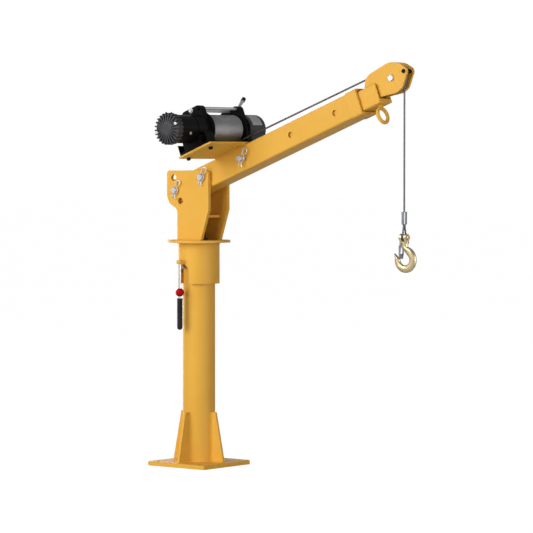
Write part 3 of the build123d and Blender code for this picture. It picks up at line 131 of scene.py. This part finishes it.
def shell(name, grids, material, body=None, crease=40.0):
    """One mesh from grids of points, rows along a path and columns round it, with both ends
    closed. The UV map holds the share round and the metres along."""
    points, faces, wraps, start = [], [], [], 0
    for grid in grids:
        rows, columns = grid.shape[:2]
        index = start + np.arange(rows * columns).reshape(rows, columns)
        here, ahead = index[:-1], index[1:]
        quads = np.stack([here, np.roll(here, -1, 1), np.roll(ahead, -1, 1), ahead], -1)
        step = np.linalg.norm(np.diff(grid.mean(axis=1), axis=0), axis=1)
        run = np.concatenate([[0], np.cumsum(step)])
        left = np.broadcast_to(np.arange(columns) / columns, here.shape)
        right = left + 1 / columns
        low = np.broadcast_to(run[:-1, None], here.shape)
        high = np.broadcast_to(run[1:, None], here.shape)
        wraps.append(np.stack([left, low, right, low, right, high, left, high], -1).reshape(-1))
        wraps.append(np.zeros(4 * columns))
        faces += quads.reshape(-1, 4).tolist()
        faces += [index[0, ::-1].tolist(), index[-1].tolist()]
        points.append(grid.reshape(-1, 3))
        start += rows * columns
    mesh = bpy.data.meshes.new(name)
    mesh.from_pydata(np.concatenate(points).tolist(), [], faces)
    wrap = mesh.uv_layers.new(name="wrap")
    wrap.data.foreach_set("uv", np.concatenate(wraps).astype(np.float32))
    mesh.shade_smooth()
    mesh.set_sharp_from_angle(angle=radians(crease))
    mesh.materials.append(material)
    piece = bpy.data.objects.new(name, mesh)
    bpy.context.scene.collection.objects.link(piece)
    if body:
        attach(piece, body)
    return piece


ripple_pitch, ripple_share, bead_step, bead_sides = 0.0045, 0.10, 0.0016, 10


def rippled(path, length, size, side):
    """A weld bead on a path: a round section whose radius ripples as a sine of the length."""
    swell = size * (1 + ripple_share * np.sin(length / ripple_pitch * 2 * pi))
    return carried(path, side, swell[:, None, None] * circle(bead_sides))


def bead(start, end, size, side=(0, 0, 1)):
    """A weld bead along a line: points a step apart between its two ends."""
    start, end = np.asarray(start, float), np.asarray(end, float)
    length = np.linalg.norm(end - start)
    share = np.linspace(0, 1, max(int(length / bead_step), 4))
    return rippled(start + (end - start) * share[:, None], share * length, size, side)


def ring_bead(radius, height, size, rows=420):
    """A weld bead round an upright pipe: the points of a circle at one height."""
    turn = np.radians(np.linspace(0, 360, rows))
    level = np.full(rows, height)
    path = np.stack([radius * np.cos(turn), radius * np.sin(turn), level], -1)
    return rippled(path, turn * radius, size, (0, 0, 1))


yellow = finish(
    "yellow_powder_coat", pale=(0.73, 0.390, 0.050), deep=(0.69, 0.360, 0.041), patch=7,
    gloss=(0.42, 0.55), grain=900, relief=0.10, shine=0.3,
)
dress(yellow, "base_plate", "base_gussets", "column_tube")
pipe_seam_r, pipe_seam_z = 0.0555, 0.0155
gusset_side, gusset_root, gusset_toe = 0.0048, 0.058, 0.104
gusset_floor, gusset_foot, gusset_top = 0.0150, 0.018, 0.176
gusset_back = 0.0542
pipe_bead, floor_bead, back_bead = 0.0032, 0.0024, 0.0022
seams = [ring_bead(pipe_seam_r, pipe_seam_z, pipe_bead)]
for quarter in range(4):
    out = np.array([cos(quarter * pi / 2), sin(quarter * pi / 2), 0.0])
    beside = np.array([-out[1], out[0], 0.0])
    for face in (-gusset_side, gusset_side):
        level = beside * face + [0, 0, gusset_floor]
        seams.append(bead(out * gusset_root + level, out * gusset_toe + level, floor_bead))
        corner = out * gusset_back + beside * face
        seams.append(bead(corner + [0, 0, gusset_foot], corner + [0, 0, gusset_top], back_bead, out))
shell("base_welds", seams, yellow, "base")

# Swivel bearing: a king pin welded into the column's top, a bronze thrust washer, two bronze
# bushes pressed into the sleeve and a large blackened nut that holds the swivel head down.
bronze = finish(
    "bearing_bronze", pale=(0.62, 0.40, 0.17), deep=(0.50, 0.30, 0.11), patch=70,
    gloss=(0.28, 0.42), grain=1100, relief=0.12, metal=1.0,
)
oxide = finish(
    "black_oxide", pale=(0.024, 0.018, 0.014), deep=(0.014, 0.011, 0.009), patch=50,
    gloss=(0.35, 0.50), grain=900, relief=0.15, shine=0.15,
)
dress(oxide, "king_pin", "king_nut")
dress(bronze, "thrust_washer", "swivel_bushes")

# Swivel head: a notched sleeve, a round flange, two cut cheek plates and a bent shelf
# between them, welded and coated in the same yellow.
dress(yellow, "swivel_sleeve", "swivel_flange", "cheek_left", "cheek_right", "cheek_shelf")
dress(yellow, "lever_lugs")
sleeve_seam_r, sleeve_seam_z, sleeve_bead = 0.0700, 0.7410, 0.0028
cheek_out, cheek_in, cheek_foot_z, cheek_bead = 0.0562, 0.0422, 0.7508, 0.0026
cheek_rear, shelf_rear, cheek_front = -0.045, -0.040, 0.052
shelf_z, shelf_bead = 0.8338, 0.0022
shelf_back, shelf_low, shelf_high = -0.0332, 0.754, 0.822
seams = [ring_bead(sleeve_seam_r, sleeve_seam_z, sleeve_bead)]
for face in (-cheek_out, cheek_out, -cheek_in, cheek_in):
    seams.append(bead((cheek_rear, face, cheek_foot_z), (cheek_front, face, cheek_foot_z), cheek_bead))
for face in (-cheek_in, cheek_in):
    seams.append(bead((shelf_rear, face, shelf_z), (cheek_front, face, shelf_z), shelf_bead))
    low, high = (shelf_back, face, shelf_low), (shelf_back, face, shelf_high)
    seams.append(bead(low, high, shelf_bead, side=(1, 0, 0)))
shell("swivel_welds", seams, yellow, "swivel")

# Hanging brake lever: a plated rod whose eye is coated yellow with the lugs it hangs in,
# a red moulded ball and a ribbed black rubber grip pushed on its end.
plated = finish(
    "plated_rod", pale=(0.72, 0.72, 0.73), deep=(0.60, 0.60, 0.62), patch=40,
    gloss=(0.14, 0.24), grain=1200, relief=0.03, metal=0.75, edge=0.0,
)
red = finish(
    "red_moulding", pale=(0.38, 0.003, 0.004), deep=(0.32, 0.002, 0.003), patch=40,
    gloss=(0.16, 0.26), grain=800, relief=0.04, shine=0.08,
)
rubber = finish(
    "black_rubber", pale=(0.018, 0.017, 0.019), deep=(0.010, 0.010, 0.011), patch=60,
    gloss=(0.50, 0.66), grain=1400, relief=0.35, shine=0.22,
)
dress(plated, "brake_lever")
dress(red, "lever_ball")
eye_height = 0.0175
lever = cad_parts["brake_lever"].data
lever.materials.append(yellow)
middles = np.empty(3 * len(lever.polygons))
lever.polygons.foreach_get("center", middles)
coated = middles[2::3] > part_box("brake_lever")[1][2] - eye_height
lever.polygons.foreach_set("material_index", coated.astype(np.int32))


def ribbed(share, radius=0.0089, rib=0.0006, ribs=20, ribbed_half=0.42, tip=14, collar=0.965):
    """The grip's radius at a share of its height: flattened sine ribs on its middle part, a
    quarter ellipse at its lower tip and a collar that is 7 per cent wider at its top."""
    middle = np.abs(share - 0.5) < ribbed_half
    width = radius + rib * np.clip(np.sin(share * ribs * 2 * pi), -0.4, 0.8) * middle
    width = width * np.sqrt(np.clip(1 - (1 - share * tip).clip(0) ** 2, 0.03, 1))
    return width * np.where(share > collar, 1.07, 1.0)


grip_rows, grip_sides = 150, 40
share = np.linspace(0, 1, grip_rows)[:, None]
grip_low, grip_high = (np.array(corner, float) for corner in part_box("lever_grip"))
grip_foot = np.array([*(grip_low + grip_high)[:2] / 2, grip_low[2]])
spine = grip_foot + share * [0, 0, grip_high[2] - grip_low[2]]
rounds = ribbed(share)[..., None] * circle(grip_sides)
grip = shell("ribbed_grip", [carried(spine, (1, 0, 0), rounds)], rubber, "lever")
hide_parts("lever_grip")

# Pins of the head and boom: turned, headed and zinc plated, each kept by a spring clip of
# bent wire through its near end.
zinc = finish(
    "bright_zinc_plate", pale=(0.80, 0.81, 0.82), deep=(0.66, 0.67, 0.69), patch=60,
    gloss=(0.18, 0.30), grain=1500, relief=0.04, metal=0.7, edge=0.1,
)
dress(zinc, "boom_pivot_pin", "elevation_pin", "cheek_pin_clips", "extension_pin", "extension_clip")

# Telescopic boom: two square tubes, the outer with a band welded round its mouth, the inner
# running on white nylon pads. The winch plate is welded across the outer one.
boom_pivot = np.array([0.058, 0, 0.959])
tilt = radians(20.8)
ahead = np.array([cos(tilt), 0, sin(tilt)])
across = np.array([0, 1.0, 0])
above = np.array([-sin(tilt), 0, cos(tilt)])


def on_boom(s, y, n):
    """The point s along the boom from its pivot, y across it and n above its middle."""
    return boom_pivot + np.multiply.outer(s, ahead) + np.multiply.outer(n, above) + y * across


nylon = finish(
    "white_nylon", pale=(0.80, 0.80, 0.77), deep=(0.72, 0.72, 0.68), patch=40,
    gloss=(0.40, 0.55), grain=900, relief=0.12,
)
dress(yellow, "outer_boom", "boom_end_band", "inner_boom", "winch_plate")
dress(bronze, "boom_pivot_bush")
dress(nylon, "front_slide_pads", "rear_slide_pads")
boom_face, seam_half, band_s, band_bead = 0.041, 0.034, 0.6365, 0.0020
plate_rear, plate_front, plate_seam_n, plate_bead = 0.066, 0.203, 0.0390, 0.0026
seams = []
for face in (-boom_face, boom_face):
    rear, front = on_boom(plate_rear, face, plate_seam_n), on_boom(plate_front, face, plate_seam_n)
    seams.append(bead(rear, front, plate_bead, across))
    low, high = on_boom(band_s, face, -seam_half), on_boom(band_s, face, seam_half)
    seams.append(bead(low, high, band_bead, ahead))
    near, far = on_boom(band_s, -seam_half, face), on_boom(band_s, seam_half, face)
    seams.append(bead(near, far, band_bead, ahead))
shell("boom_welds", seams, yellow, "boom")

# Winch frame and motor: black painted castings, a drawn motor can, a finned end cap and a
# gear housing, bolted to the plate and tied by two bright bars over the drum.
black = finish(
    "black_paint", pale=(0.007, 0.007, 0.007), deep=(0.004, 0.004, 0.004), patch=14,
    gloss=(0.30, 0.44), grain=800, relief=0.22, shine=0.06,
)
fins = finish(
    "black_fins", pale=(0.050, 0.050, 0.054), deep=(0.032, 0.032, 0.035), patch=20,
    gloss=(0.30, 0.42), grain=900, relief=0.15, shine=0.3,
)
dress(black, "motor_support", "gear_support", "motor_can", "winch_bolts")
dress(fins, "motor_end_cap", "gear_housing")
dress(zinc, "tie_bars")
winch_s, winch_n = 0.122, 0.121
motor_side_y, gear_side_y, cap_end_y = -0.165, 0.053, -0.310


def turned(middle, axis, side, stations, sides=32):
    """A turned or hexagonal piece: rows of points at each (place on the axis, radius) station,
    the section a regular polygon of the given sides."""
    axis, side = np.asarray(axis, float), np.asarray(side, float)
    rim = circle(sides) @ np.stack([side, np.cross(axis, side)])
    place, radius = np.array(stations, float).T
    return middle + np.multiply.outer(place, axis)[:, None] + radius[:, None, None] * rim


washer = [(0, 0.0085), (0.0014, 0.0085), (0.0018, 0.0080)]
hexagon = [(0.0015, 0.0066), (0.0058, 0.0066), (0.0068, 0.0056)]
cap_screw = [(0, 0.0052), (0.0055, 0.0052), (0.0072, 0.0044), (0.0076, 0.002)]
can_screw = [(0, 0.0050), (0.002, 0.0050), (0.0032, 0.0040)]
screw_crease = 25.0
painted_spot, bright_spot = (0.029, 0.062), (0.0, 0.0645)
bright_screws, painted_screws = [], []
for (s, n), screws in ((painted_spot, painted_screws), (bright_spot, bright_screws)):
    for y, out in ((motor_side_y, -across), (gear_side_y, across)):
        spot = on_boom(winch_s + s, y, winch_n + n)
        screws.append(turned(spot, out, ahead, washer))
        screws.append(turned(spot, out, ahead, hexagon, sides=6))
shell("painted_screws", painted_screws, black, "boom", crease=screw_crease)
cap_screw_r, cap_screw_turns = 0.0415, (0.05, 3.08)
for angle in cap_screw_turns:
    s, n = winch_s + cap_screw_r * cos(angle), winch_n + cap_screw_r * sin(angle)
    bright_screws.append(turned(on_boom(s, cap_end_y, n), -across, ahead, cap_screw))
can_r, can_screw_y, can_screw_lean = 0.0455, -0.246, radians(-38)
out = ahead * cos(can_screw_lean) + above * sin(can_screw_lean)
spot = on_boom(winch_s, can_screw_y, winch_n) + out * can_r
bright_screws.append(turned(spot, out, across, can_screw))
shell("winch_screws", bright_screws, zinc, "boom", crease=screw_crease)

# Motor terminals: two blackened studs with nuts in black insulating collars, screwed into
# the can's top beside each other.
collar = [(0, 0.0072), (0.004, 0.0072), (0.0052, 0.0060)]
stud = [(0.004, 0.0026), (0.0205, 0.0026), (0.0212, 0.0020)]
stud_nut = [(0.0050, 0.0044), (0.0086, 0.0044), (0.0092, 0.0038)]
stud_lean, stud_places = radians(15), (-0.272, -0.246)
out = above * cos(stud_lean) - ahead * sin(stud_lean)
studs, collars = [], []
for y in stud_places:
    spot = on_boom(winch_s, y, winch_n) + out * can_r
    collars.append(turned(spot, out, across, collar))
    studs.append(turned(spot, out, across, stud))
    studs.append(turned(spot, out, across, stud_nut, sides=6))
shell("terminal_collars", collars, black, "boom")
shell("terminal_studs", studs, oxide, "boom", crease=screw_crease)

# Bare rating plate: a thin sheet of brushed aluminium, rolled to the gear housing's round
# and held by its edge, with nothing printed on it.
brushed = finish(
    "brushed_plate", pale=(0.58, 0.575, 0.59), deep=(0.48, 0.475, 0.49), patch=30,
    gloss=(0.34, 0.46), grain=700, relief=0.15, metal=0.7, stretch=(1, 12, 1),
)
sheet_y, sheet_long, sheet_edge = 0.068, 0.049, 0.0008
sheet_in, sheet_out = 0.0501, 0.0508
sheet_low, sheet_high, sheet_rows = radians(-3), radians(50), 40
arc = np.linspace(sheet_low, sheet_high, sheet_rows)
rolled = np.multiply.outer(np.cos(arc), ahead) + np.multiply.outer(np.sin(arc), above)
reach = np.array([sheet_in, sheet_out, sheet_out, sheet_in])[:, None]
place = np.array([0, sheet_edge, sheet_long - sheet_edge, sheet_long])[:, None]
sheet = on_boom(winch_s, sheet_y, winch_n) + reach * rolled[:, None] + place * across
shell("rating_plate", [sheet], brushed, "boom", crease=30.0)

# Drive train in the winch: laminated armature on a long shaft through the drum, sun gear,
# three planets and a ring gear, all of bare cut steel, and the black painted drum.
steel = finish(
    "cut_steel", pale=(0.42, 0.42, 0.43), deep=(0.30, 0.30, 0.31), patch=80,
    gloss=(0.25, 0.40), grain=1300, relief=0.12, metal=1.0,
)
dress(steel, "motor_armature", "sun_shaft", "ring_gear")
dress(steel, "planet_gear_1", "planet_gear_2", "planet_gear_3")
dress(black, "winch_drum")

# Clutch lever: a plated arm that widens to a black moulded knob, turning on a post of the
# gear housing.
moulded = finish(
    "black_moulding", pale=(0.010, 0.010, 0.011), deep=(0.006, 0.006, 0.007), patch=60,
    gloss=(0.30, 0.44), grain=900, relief=0.15, shine=0.12,
)
dress(plated, "clutch_lever")
dress(moulded, "clutch_knob")

# Wire rope: six twisted strands of bright wire. It lies in close turns on the drum, leaves it
# from below, runs over the boom to the sheave and hangs down to a swaged eye.
wire = finish(
    "wire_rope", pale=(0.17, 0.17, 0.175), deep=(0.11, 0.11, 0.115), patch=260,
    gloss=(0.26, 0.38), grain=1800, relief=0.20, metal=1.0, edge=0.0,
)
# The turns on the drum take a paler copy of the rope's finish than the free rope: painted light on the
# same rope.
wound_painted_lighter = finish(
    "wound_rope_painted_light", pale=(0.40, 0.40, 0.405), deep=(0.34, 0.34, 0.345), patch=60,
    gloss=(0.32, 0.44), grain=1800, relief=0.06, metal=0.9, edge=0.2,
)
rope_r = 0.003


def run_along(path):
    """The length from a path's first point to each of its points, as a running sum of steps."""
    return np.concatenate([[0], np.cumsum(np.linalg.norm(np.diff(path, axis=0), axis=1))])


def strands(path, side, radius=rope_r, lay=0.040, sides=30):
    """A laid rope: at each angle the outline of six round strands of a third of the radius,
    whose middles stand at two thirds of it, turned once in each lay of length."""
    turn = np.linspace(0, 2 * pi, sides, endpoint=False)
    off = (turn + pi / 6) % (pi / 3) - pi / 6
    reach = radius * (2 / 3 * np.cos(off) + np.sqrt((1 / 9 - 4 / 9 * np.sin(off) ** 2).clip(0)))
    spun = turn[None] + (run_along(path) / lay * 2 * pi)[:, None]
    return carried(path, side, reach[None, :, None] * np.stack([np.cos(spun), np.sin(spun)], -1))


def spline(route, step=0.0026):
    """Points a step apart on the smooth spline that has the route's points as its control
    points, and its length."""
    curve = bpy.data.curves.new("route", "CURVE")
    curve.dimensions = "3D"
    line = curve.splines.new("NURBS")
    line.points.add(len(route) - 1)
    line.points.foreach_set("co", np.hstack([route, np.ones((len(route), 1))]).reshape(-1))
    line.order_u = 3
    line.use_endpoint_u = True
    line.resolution_u = 32
    holder = bpy.data.objects.new("route", curve)
    bpy.context.scene.collection.objects.link(holder)
    bpy.context.view_layer.update()
    shown = holder.evaluated_get(bpy.context.evaluated_depsgraph_get())
    mesh = bpy.data.meshes.new_from_object(shown)
    found = np.empty(3 * len(mesh.vertices))
    mesh.vertices.foreach_get("co", found)
    found = found.reshape(-1, 3)
    bpy.data.objects.remove(holder)
    bpy.data.curves.remove(curve)
    bpy.data.meshes.remove(mesh)
    run = run_along(found)
    at = np.linspace(0, run[-1], max(int(run[-1] / step), 4))
    return np.stack([np.interp(at, run, found[:, k]) for k in range(3)], -1), run[-1]


turns, pitch, wound_r, first_turn_y, winding_rows = 24.0, 0.0064, 0.045, -0.133, 2400
lap = np.linspace(0, turns, winding_rows)
angle = 2 * pi * lap - pi / 2
radial = np.multiply.outer(np.cos(angle), ahead) + np.multiply.outer(np.sin(angle), above)
first_turn = on_boom(winch_s, first_turn_y, winch_n)
helix = first_turn + wound_r * radial + np.multiply.outer(pitch * lap, across)
winding = shell("drum_winding", [strands(helix, radial)], wound_painted_lighter, "drum")
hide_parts("rope_winding")

drum_r, bend_r = 0.05135, 0.036
sheave_s, sheave_n = 0.812, 0.027
span_s, span_n = sheave_s - winch_s, sheave_n - winch_n
leaving_angle = np.arctan2(span_n, span_s) + np.arcsin((drum_r + bend_r) / np.hypot(span_s, span_n))
top, bottom = leaving_angle + pi / 2, leaving_angle - pi / 2


def round_wheel(s, n, radius, angles):
    """Points at one radius round a wheel of the boom. Where the radius is the wheel's divided by
    the cosine of half a step, they are the corners where the tangents of equal arcs meet."""
    return [on_boom(s + radius * cos(a), 0.0, n + radius * sin(a)) for a in angles]


third = pi / 3
corners = [top + third * (k + 0.5) for k in range(3)]
route = round_wheel(winch_s, winch_n, drum_r, [top])
route += round_wheel(winch_s, winch_n, drum_r / cos(third / 2), corners)
leaving = round_wheel(winch_s, winch_n, drum_r, [bottom])[0]
arriving = round_wheel(sheave_s, sheave_n, bend_r, [top])[0]
route += [2 * leaving - route[-1], arriving]
path, length = spline(np.array(route))
run = shell("rope_on_boom", [strands(path, across)], wire)
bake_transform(run)
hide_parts("rope_run")

half = (top + tilt) / 2
route = round_wheel(sheave_s, sheave_n, bend_r, [top])
route += round_wheel(sheave_s, sheave_n, bend_r / cos(half / 2), [top - half / 2, top - 1.5 * half])
route += round_wheel(sheave_s, sheave_n, bend_r, [-tilt])
path, length = spline(np.array(route))
over = shell("rope_over_wheel", [strands(path, across)], wire)
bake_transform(over)
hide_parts("rope_over_sheave")

hang_x, hang_z = path[-1][0], path[-1][2]
swage_z, hoist_travel, fall_stops = 0.852587, 0.2868, (1.1, 0.95)
path, length = spline(np.array([[hang_x, 0, z] for z in (hang_z, *fall_stops, swage_z)]))
fall = shell("hanging_rope", [strands(path, across)], wire, "rope_drop")
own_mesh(fall)
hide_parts("rope_fall")

# Swaged eye: the rope's end turned round the clevis pin and gripped by a pressed, plated
# ferrule.
dull_zinc = finish(
    "dull_zinc", pale=(0.38, 0.39, 0.42), deep=(0.27, 0.28, 0.31), patch=60,
    gloss=(0.30, 0.42), grain=900, relief=0.12, metal=1.0, edge=0.2,
)
dress(dull_zinc, "rope_ferrule")
ferrule_long, fork_z = 0.040, 0.771587
leg_gap, eye_r, leg_rows, bow_rows = 0.0033, 0.0083, 24, 40
swage_foot = swage_z - ferrule_long
bow = np.linspace(0, -pi, bow_rows)
leg = np.linspace(0, 1, leg_rows)
ease = leg * leg * (3 - 2 * leg)
down = np.stack([leg_gap + (eye_r - leg_gap) * ease, swage_foot + (fork_z - swage_foot) * leg], -1)
round_pin = np.stack([eye_r * np.cos(bow), fork_z + eye_r * np.sin(bow)], -1)
loop = np.concatenate([down[:-1], round_pin, down[::-1][1:] * [-1, 1]])
path = np.stack([np.full(len(loop), hang_x), loop[:, 0], loop[:, 1]], -1)
eye = shell("swaged_eye", [strands(path, (1, 0, 0))], wire, "hook_line")
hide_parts("rope_eye")

# Boom head: two cut plates welded into the inner boom's end, a cut sheave with a bronze bush
# on a plated bolt, a black rope guard and a welded tie ring below.
dress(yellow, "head_plate_left", "head_plate_right", "tie_ring")
dress(steel, "head_sheave")
dress(bronze, "sheave_bush")
dress(zinc, "sheave_pin")
dress(black, "rope_guard_pin")
head_rear, head_front, head_seam_n, head_bead = 0.706, 0.750, 0.0332, 0.0022
head_out, head_in = 0.0222, 0.0118
seams = []
for face in (-head_out, -head_in, head_in, head_out):
    rear, front = on_boom(head_rear, face, head_seam_n), on_boom(head_front, face, head_seam_n)
    seams.append(bead(rear, front, head_bead, across))
shell("head_welds", seams, yellow, "inner_boom")

# Load hook: forged steel with a fork for the rope's eye, gold passivated, with a sheet metal
# safety latch on a pin through its neck.
gold = finish(
    "gold_passivate", pale=(0.78, 0.655, 0.405), deep=(0.63, 0.515, 0.300), patch=55,
    gloss=(0.34, 0.42), grain=700, relief=0.03, metal=1.0, edge=0.0,
)
dress(gold, "clevis_pin")
dress(dull_zinc, "hook_latch")


def straight(start, end, count):
    """Count points evenly spaced on a line, without its end."""
    return np.linspace(start, end, count, endpoint=False)


def bent(middle, radius, first, last, count):
    """Count points evenly spaced on an arc between two angles in degrees, without its end."""
    angle = np.radians(np.linspace(first, last, count, endpoint=False))
    return middle + radius * np.stack([np.cos(angle), np.sin(angle)], -1)


def smoothed(line):
    """A line whose points are each the weighted mean of the seven round them, ends kept."""
    weights = np.array([1, 4, 9, 12, 9, 4, 1]) / 40
    inner = np.stack([np.convolve(line[:, k], weights, "valid") for k in (0, 1)], -1)
    return np.concatenate([line[:3], inner, line[-3:]])


def bulged(wave, power=0.95):
    """A sine or cosine raised to a power with its sign kept, which fills out an ellipse."""
    return np.sign(wave) * np.abs(wave) ** power


bowl, bowl_r, cheek_turn, bowl_end = np.array([0.0028, -0.0689]), 0.0183, 20, -180
belly, belly_r, shoulder_turn, side_turn, belly_end = np.array([0.0056, -0.0700]), 0.0412, 78.2, 10, -176
neck_half, neck_top, shoulder = 0.0139, -0.0125, -0.0297
throat, tip = (-0.0120, -0.0275), np.array([-0.0374, -0.0498])
cheek = bowl + bowl_r * np.array([cos(radians(cheek_turn)), sin(radians(cheek_turn))])
tip_in, tip_out = bowl + np.array([-bowl_r, 0.0]), belly + np.array([-0.0411, 0.0029])
neck_rows, cheek_rows, bowl_rows, tip_rows, section_sides = 22, 40, 90, 31, 28
left = smoothed(np.concatenate([
    straight((-neck_half, neck_top), throat, neck_rows),
    straight(throat, cheek, cheek_rows),
    bent(bowl, bowl_r, cheek_turn, bowl_end, bowl_rows),
    straight(tip_in, tip, tip_rows),
]))
right = smoothed(np.concatenate([
    straight((neck_half, neck_top), (neck_half, shoulder), neck_rows),
    bent(belly, belly_r, shoulder_turn, side_turn, cheek_rows),
    bent(belly, belly_r, side_turn, belly_end, bowl_rows),
    straight(tip_out, tip, tip_rows),
]))
half_thick, thinning, blunt = 0.0084, 0.30, 0.07
share = np.linspace(0, 1, len(left))[:, None]
point = np.sqrt(1 - ((share - 1 + blunt) / blunt).clip(0, 0.995) ** 2)
thick = half_thick * (1 - thinning * share**3) * point
section = bulged(circle(section_sides))
flat = ((left + right) / 2)[:, None] + ((right - left) / 2 * point)[:, None] * section[None, :, :1]
forging = np.stack([hang_x + flat[..., 0], thick * section[None, :, 1], fork_z + flat[..., 1]], -1)

lobe_r, ear_half, ear_top, ear_foot = 0.012, 0.0083, -0.010, -0.020
ear_in, ear_out, ear_edge, ear_trim = 0.0045, 0.0130, 0.0007, 0.94
lobe_past, lobe_rows = 0.15 * pi, 26
lobe = np.linspace(-lobe_past, pi + lobe_past, lobe_rows)
outline = np.concatenate([
    np.stack([lobe_r * np.cos(lobe), lobe_r * np.sin(lobe)], -1),
    [[-ear_half, ear_top], [-ear_half, ear_foot], [ear_half, ear_foot], [ear_half, ear_top]],
])
ear = outline[None] * np.array([ear_trim, 1.0, 1.0, ear_trim])[:, None, None]
ears = []
for low, high in ((ear_in, ear_out), (-ear_out, -ear_in)):
    place = hang_x + np.array([low, low + ear_edge, high - ear_edge, high])
    place = np.broadcast_to(place[:, None], ear.shape[:2])
    ears.append(np.stack([place, ear[..., 0], fork_z + ear[..., 1]], -1))
hook = shell("forged_hook", [forging[:, ::-1], *ears], gold, "hook")
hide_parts("load_hook")

# Floor and studio: a pale floor that keeps a faint shadow, and a white surround whose ceiling is
# dim in mirroring surfaces. One large soft key lamp stands in front, with a high softbox for the
# metals, a fill and a back lamp, and the camera stands where the photograph was taken from.
floor_half, floor_grey = 60, 0.45
floor_glow = {"Is Camera Ray": 0.92, "Is Glossy Ray": 0.25, "Is Transmission Ray": 0.92}


def glowing(tree, rays, share_of, start=0.0):
    """The sum of the given shares for the kinds of ray that arrive, on top of start."""
    total = None
    for kind, share in share_of.items():
        add = tree.nodes.new("ShaderNodeMath")
        add.operation = "MULTIPLY_ADD"
        add.inputs[1].default_value = share
        add.inputs[2].default_value = start
        tree.links.new(rays.outputs[kind], add.inputs[0])
        if total:
            tree.links.new(total, add.inputs[2])
        total = add.outputs[0]
    return total


floor_corners = np.array([(-1, -1, 0), (1, -1, 0), (1, 1, 0), (-1, 1, 0)]) * floor_half
floor_mesh = bpy.data.meshes.new("floor")
floor_mesh.from_pydata(floor_corners.tolist(), [], [(0, 1, 2, 3)])
floor = bpy.data.objects.new("floor", floor_mesh)
bpy.context.scene.collection.objects.link(floor)
pale = bpy.data.materials.new("pale_floor")
pale.use_nodes = True
tree = pale.node_tree
paint = tree.nodes["Principled BSDF"]
paint.inputs["Base Color"].default_value = (floor_grey, floor_grey, floor_grey, 1)
paint.inputs["Roughness"].default_value = 0.8
glow = tree.nodes.new("ShaderNodeEmission")
glow.inputs["Color"].default_value = (1, 1, 1, 1)
glow.inputs["Strength"].default_value = 1.07
mix = tree.nodes.new("ShaderNodeMixShader")
rays = tree.nodes.new("ShaderNodeLightPath")
tree.links.new(glowing(tree, rays, floor_glow), mix.inputs["Fac"])
tree.links.new(paint.outputs["BSDF"], mix.inputs[1])
tree.links.new(glow.outputs["Emission"], mix.inputs[2])
tree.links.new(mix.outputs["Shader"], tree.nodes["Material Output"].inputs["Surface"])
floor_mesh.materials.append(pale)

ambient, white_share, ceiling_share = 0.18, 0.82, 0.10
ceiling_from, ceiling_full = 0.12, 0.40
world = bpy.data.worlds.new("studio")
world.use_nodes = True
bpy.context.scene.world = world
tree = world.node_tree
back = tree.nodes["Background"]
back.inputs["Color"].default_value = (1, 1, 1, 1)
rays = tree.nodes.new("ShaderNodeLightPath")
way = tree.nodes.new("ShaderNodeTexCoord")
parts = tree.nodes.new("ShaderNodeSeparateXYZ")
tree.links.new(way.outputs["Generated"], parts.inputs["Vector"])
ceiling = tree.nodes.new("ShaderNodeMapRange")
ceiling.inputs["From Min"].default_value = ceiling_from
ceiling.inputs["From Max"].default_value = ceiling_full
ceiling.inputs["To Min"].default_value = white_share
ceiling.inputs["To Max"].default_value = ceiling_share
tree.links.new(parts.outputs["Z"], ceiling.inputs["Value"])
mirrored = tree.nodes.new("ShaderNodeMath")
mirrored.operation = "MULTIPLY_ADD"
tree.links.new(rays.outputs["Is Glossy Ray"], mirrored.inputs[0])
tree.links.new(ceiling.outputs["Result"], mirrored.inputs[1])
surround_glow = {"Is Camera Ray": white_share, "Is Transmission Ray": white_share}
tree.links.new(glowing(tree, rays, surround_glow, ambient), mirrored.inputs[2])
tree.links.new(mirrored.outputs[0], back.inputs["Strength"])


def lamp(name, place, aim, size, power, lights=True, mirrored=True):
    """A square soft lamp at place that points to aim, which may light matt surfaces, show in
    mirroring ones, or do both."""
    light = bpy.data.lights.new(name, "AREA")
    light.size = size
    light.energy = power
    holder = bpy.data.objects.new(name, light)
    holder.location = place
    holder.visible_diffuse = lights
    holder.visible_glossy = mirrored
    x, y, z = (float(there - here) for there, here in zip(aim, place))
    holder.rotation_euler = (np.arctan2(np.hypot(x, y), -z), 0, np.arctan2(y, x) - pi / 2)
    bpy.context.scene.collection.objects.link(holder)


crane_middle, boom_foot = (0.2, 0, 0.8), (0.4, 0, 0.9)
lamp("key", (-0.7, -5.3, 1.8), crane_middle, size=5.0, power=368, mirrored=False)
lamp("softbox", (-1.6, -4.2, 3.6), boom_foot, size=3.0, power=160, lights=False)
lamp("fill", (4.4, -0.6, 1.0), crane_middle, size=2.4, power=70)
lamp("back", (-4.6, 2.6, 1.3), crane_middle, size=3.0, power=170)

heading, look_down = radians(38.762), radians(2.068)
distance, aside, camera_height = 9.5524, 0.2249, 1.0065
lens = bpy.data.cameras.new("camera")
lens.sensor_width = 36.0
lens.lens = 194.04
lens.clip_end = 200
camera = bpy.data.objects.new("camera", lens)
camera.location = (
    sin(heading) * distance + cos(heading) * aside,
    -cos(heading) * distance + sin(heading) * aside,
    camera_height,
)
camera.rotation_euler = (pi / 2 - look_down, 0, heading)
bpy.context.scene.collection.objects.link(camera)
bpy.context.scene.camera = camera
bpy.context.scene.view_settings.view_transform = "Standard"
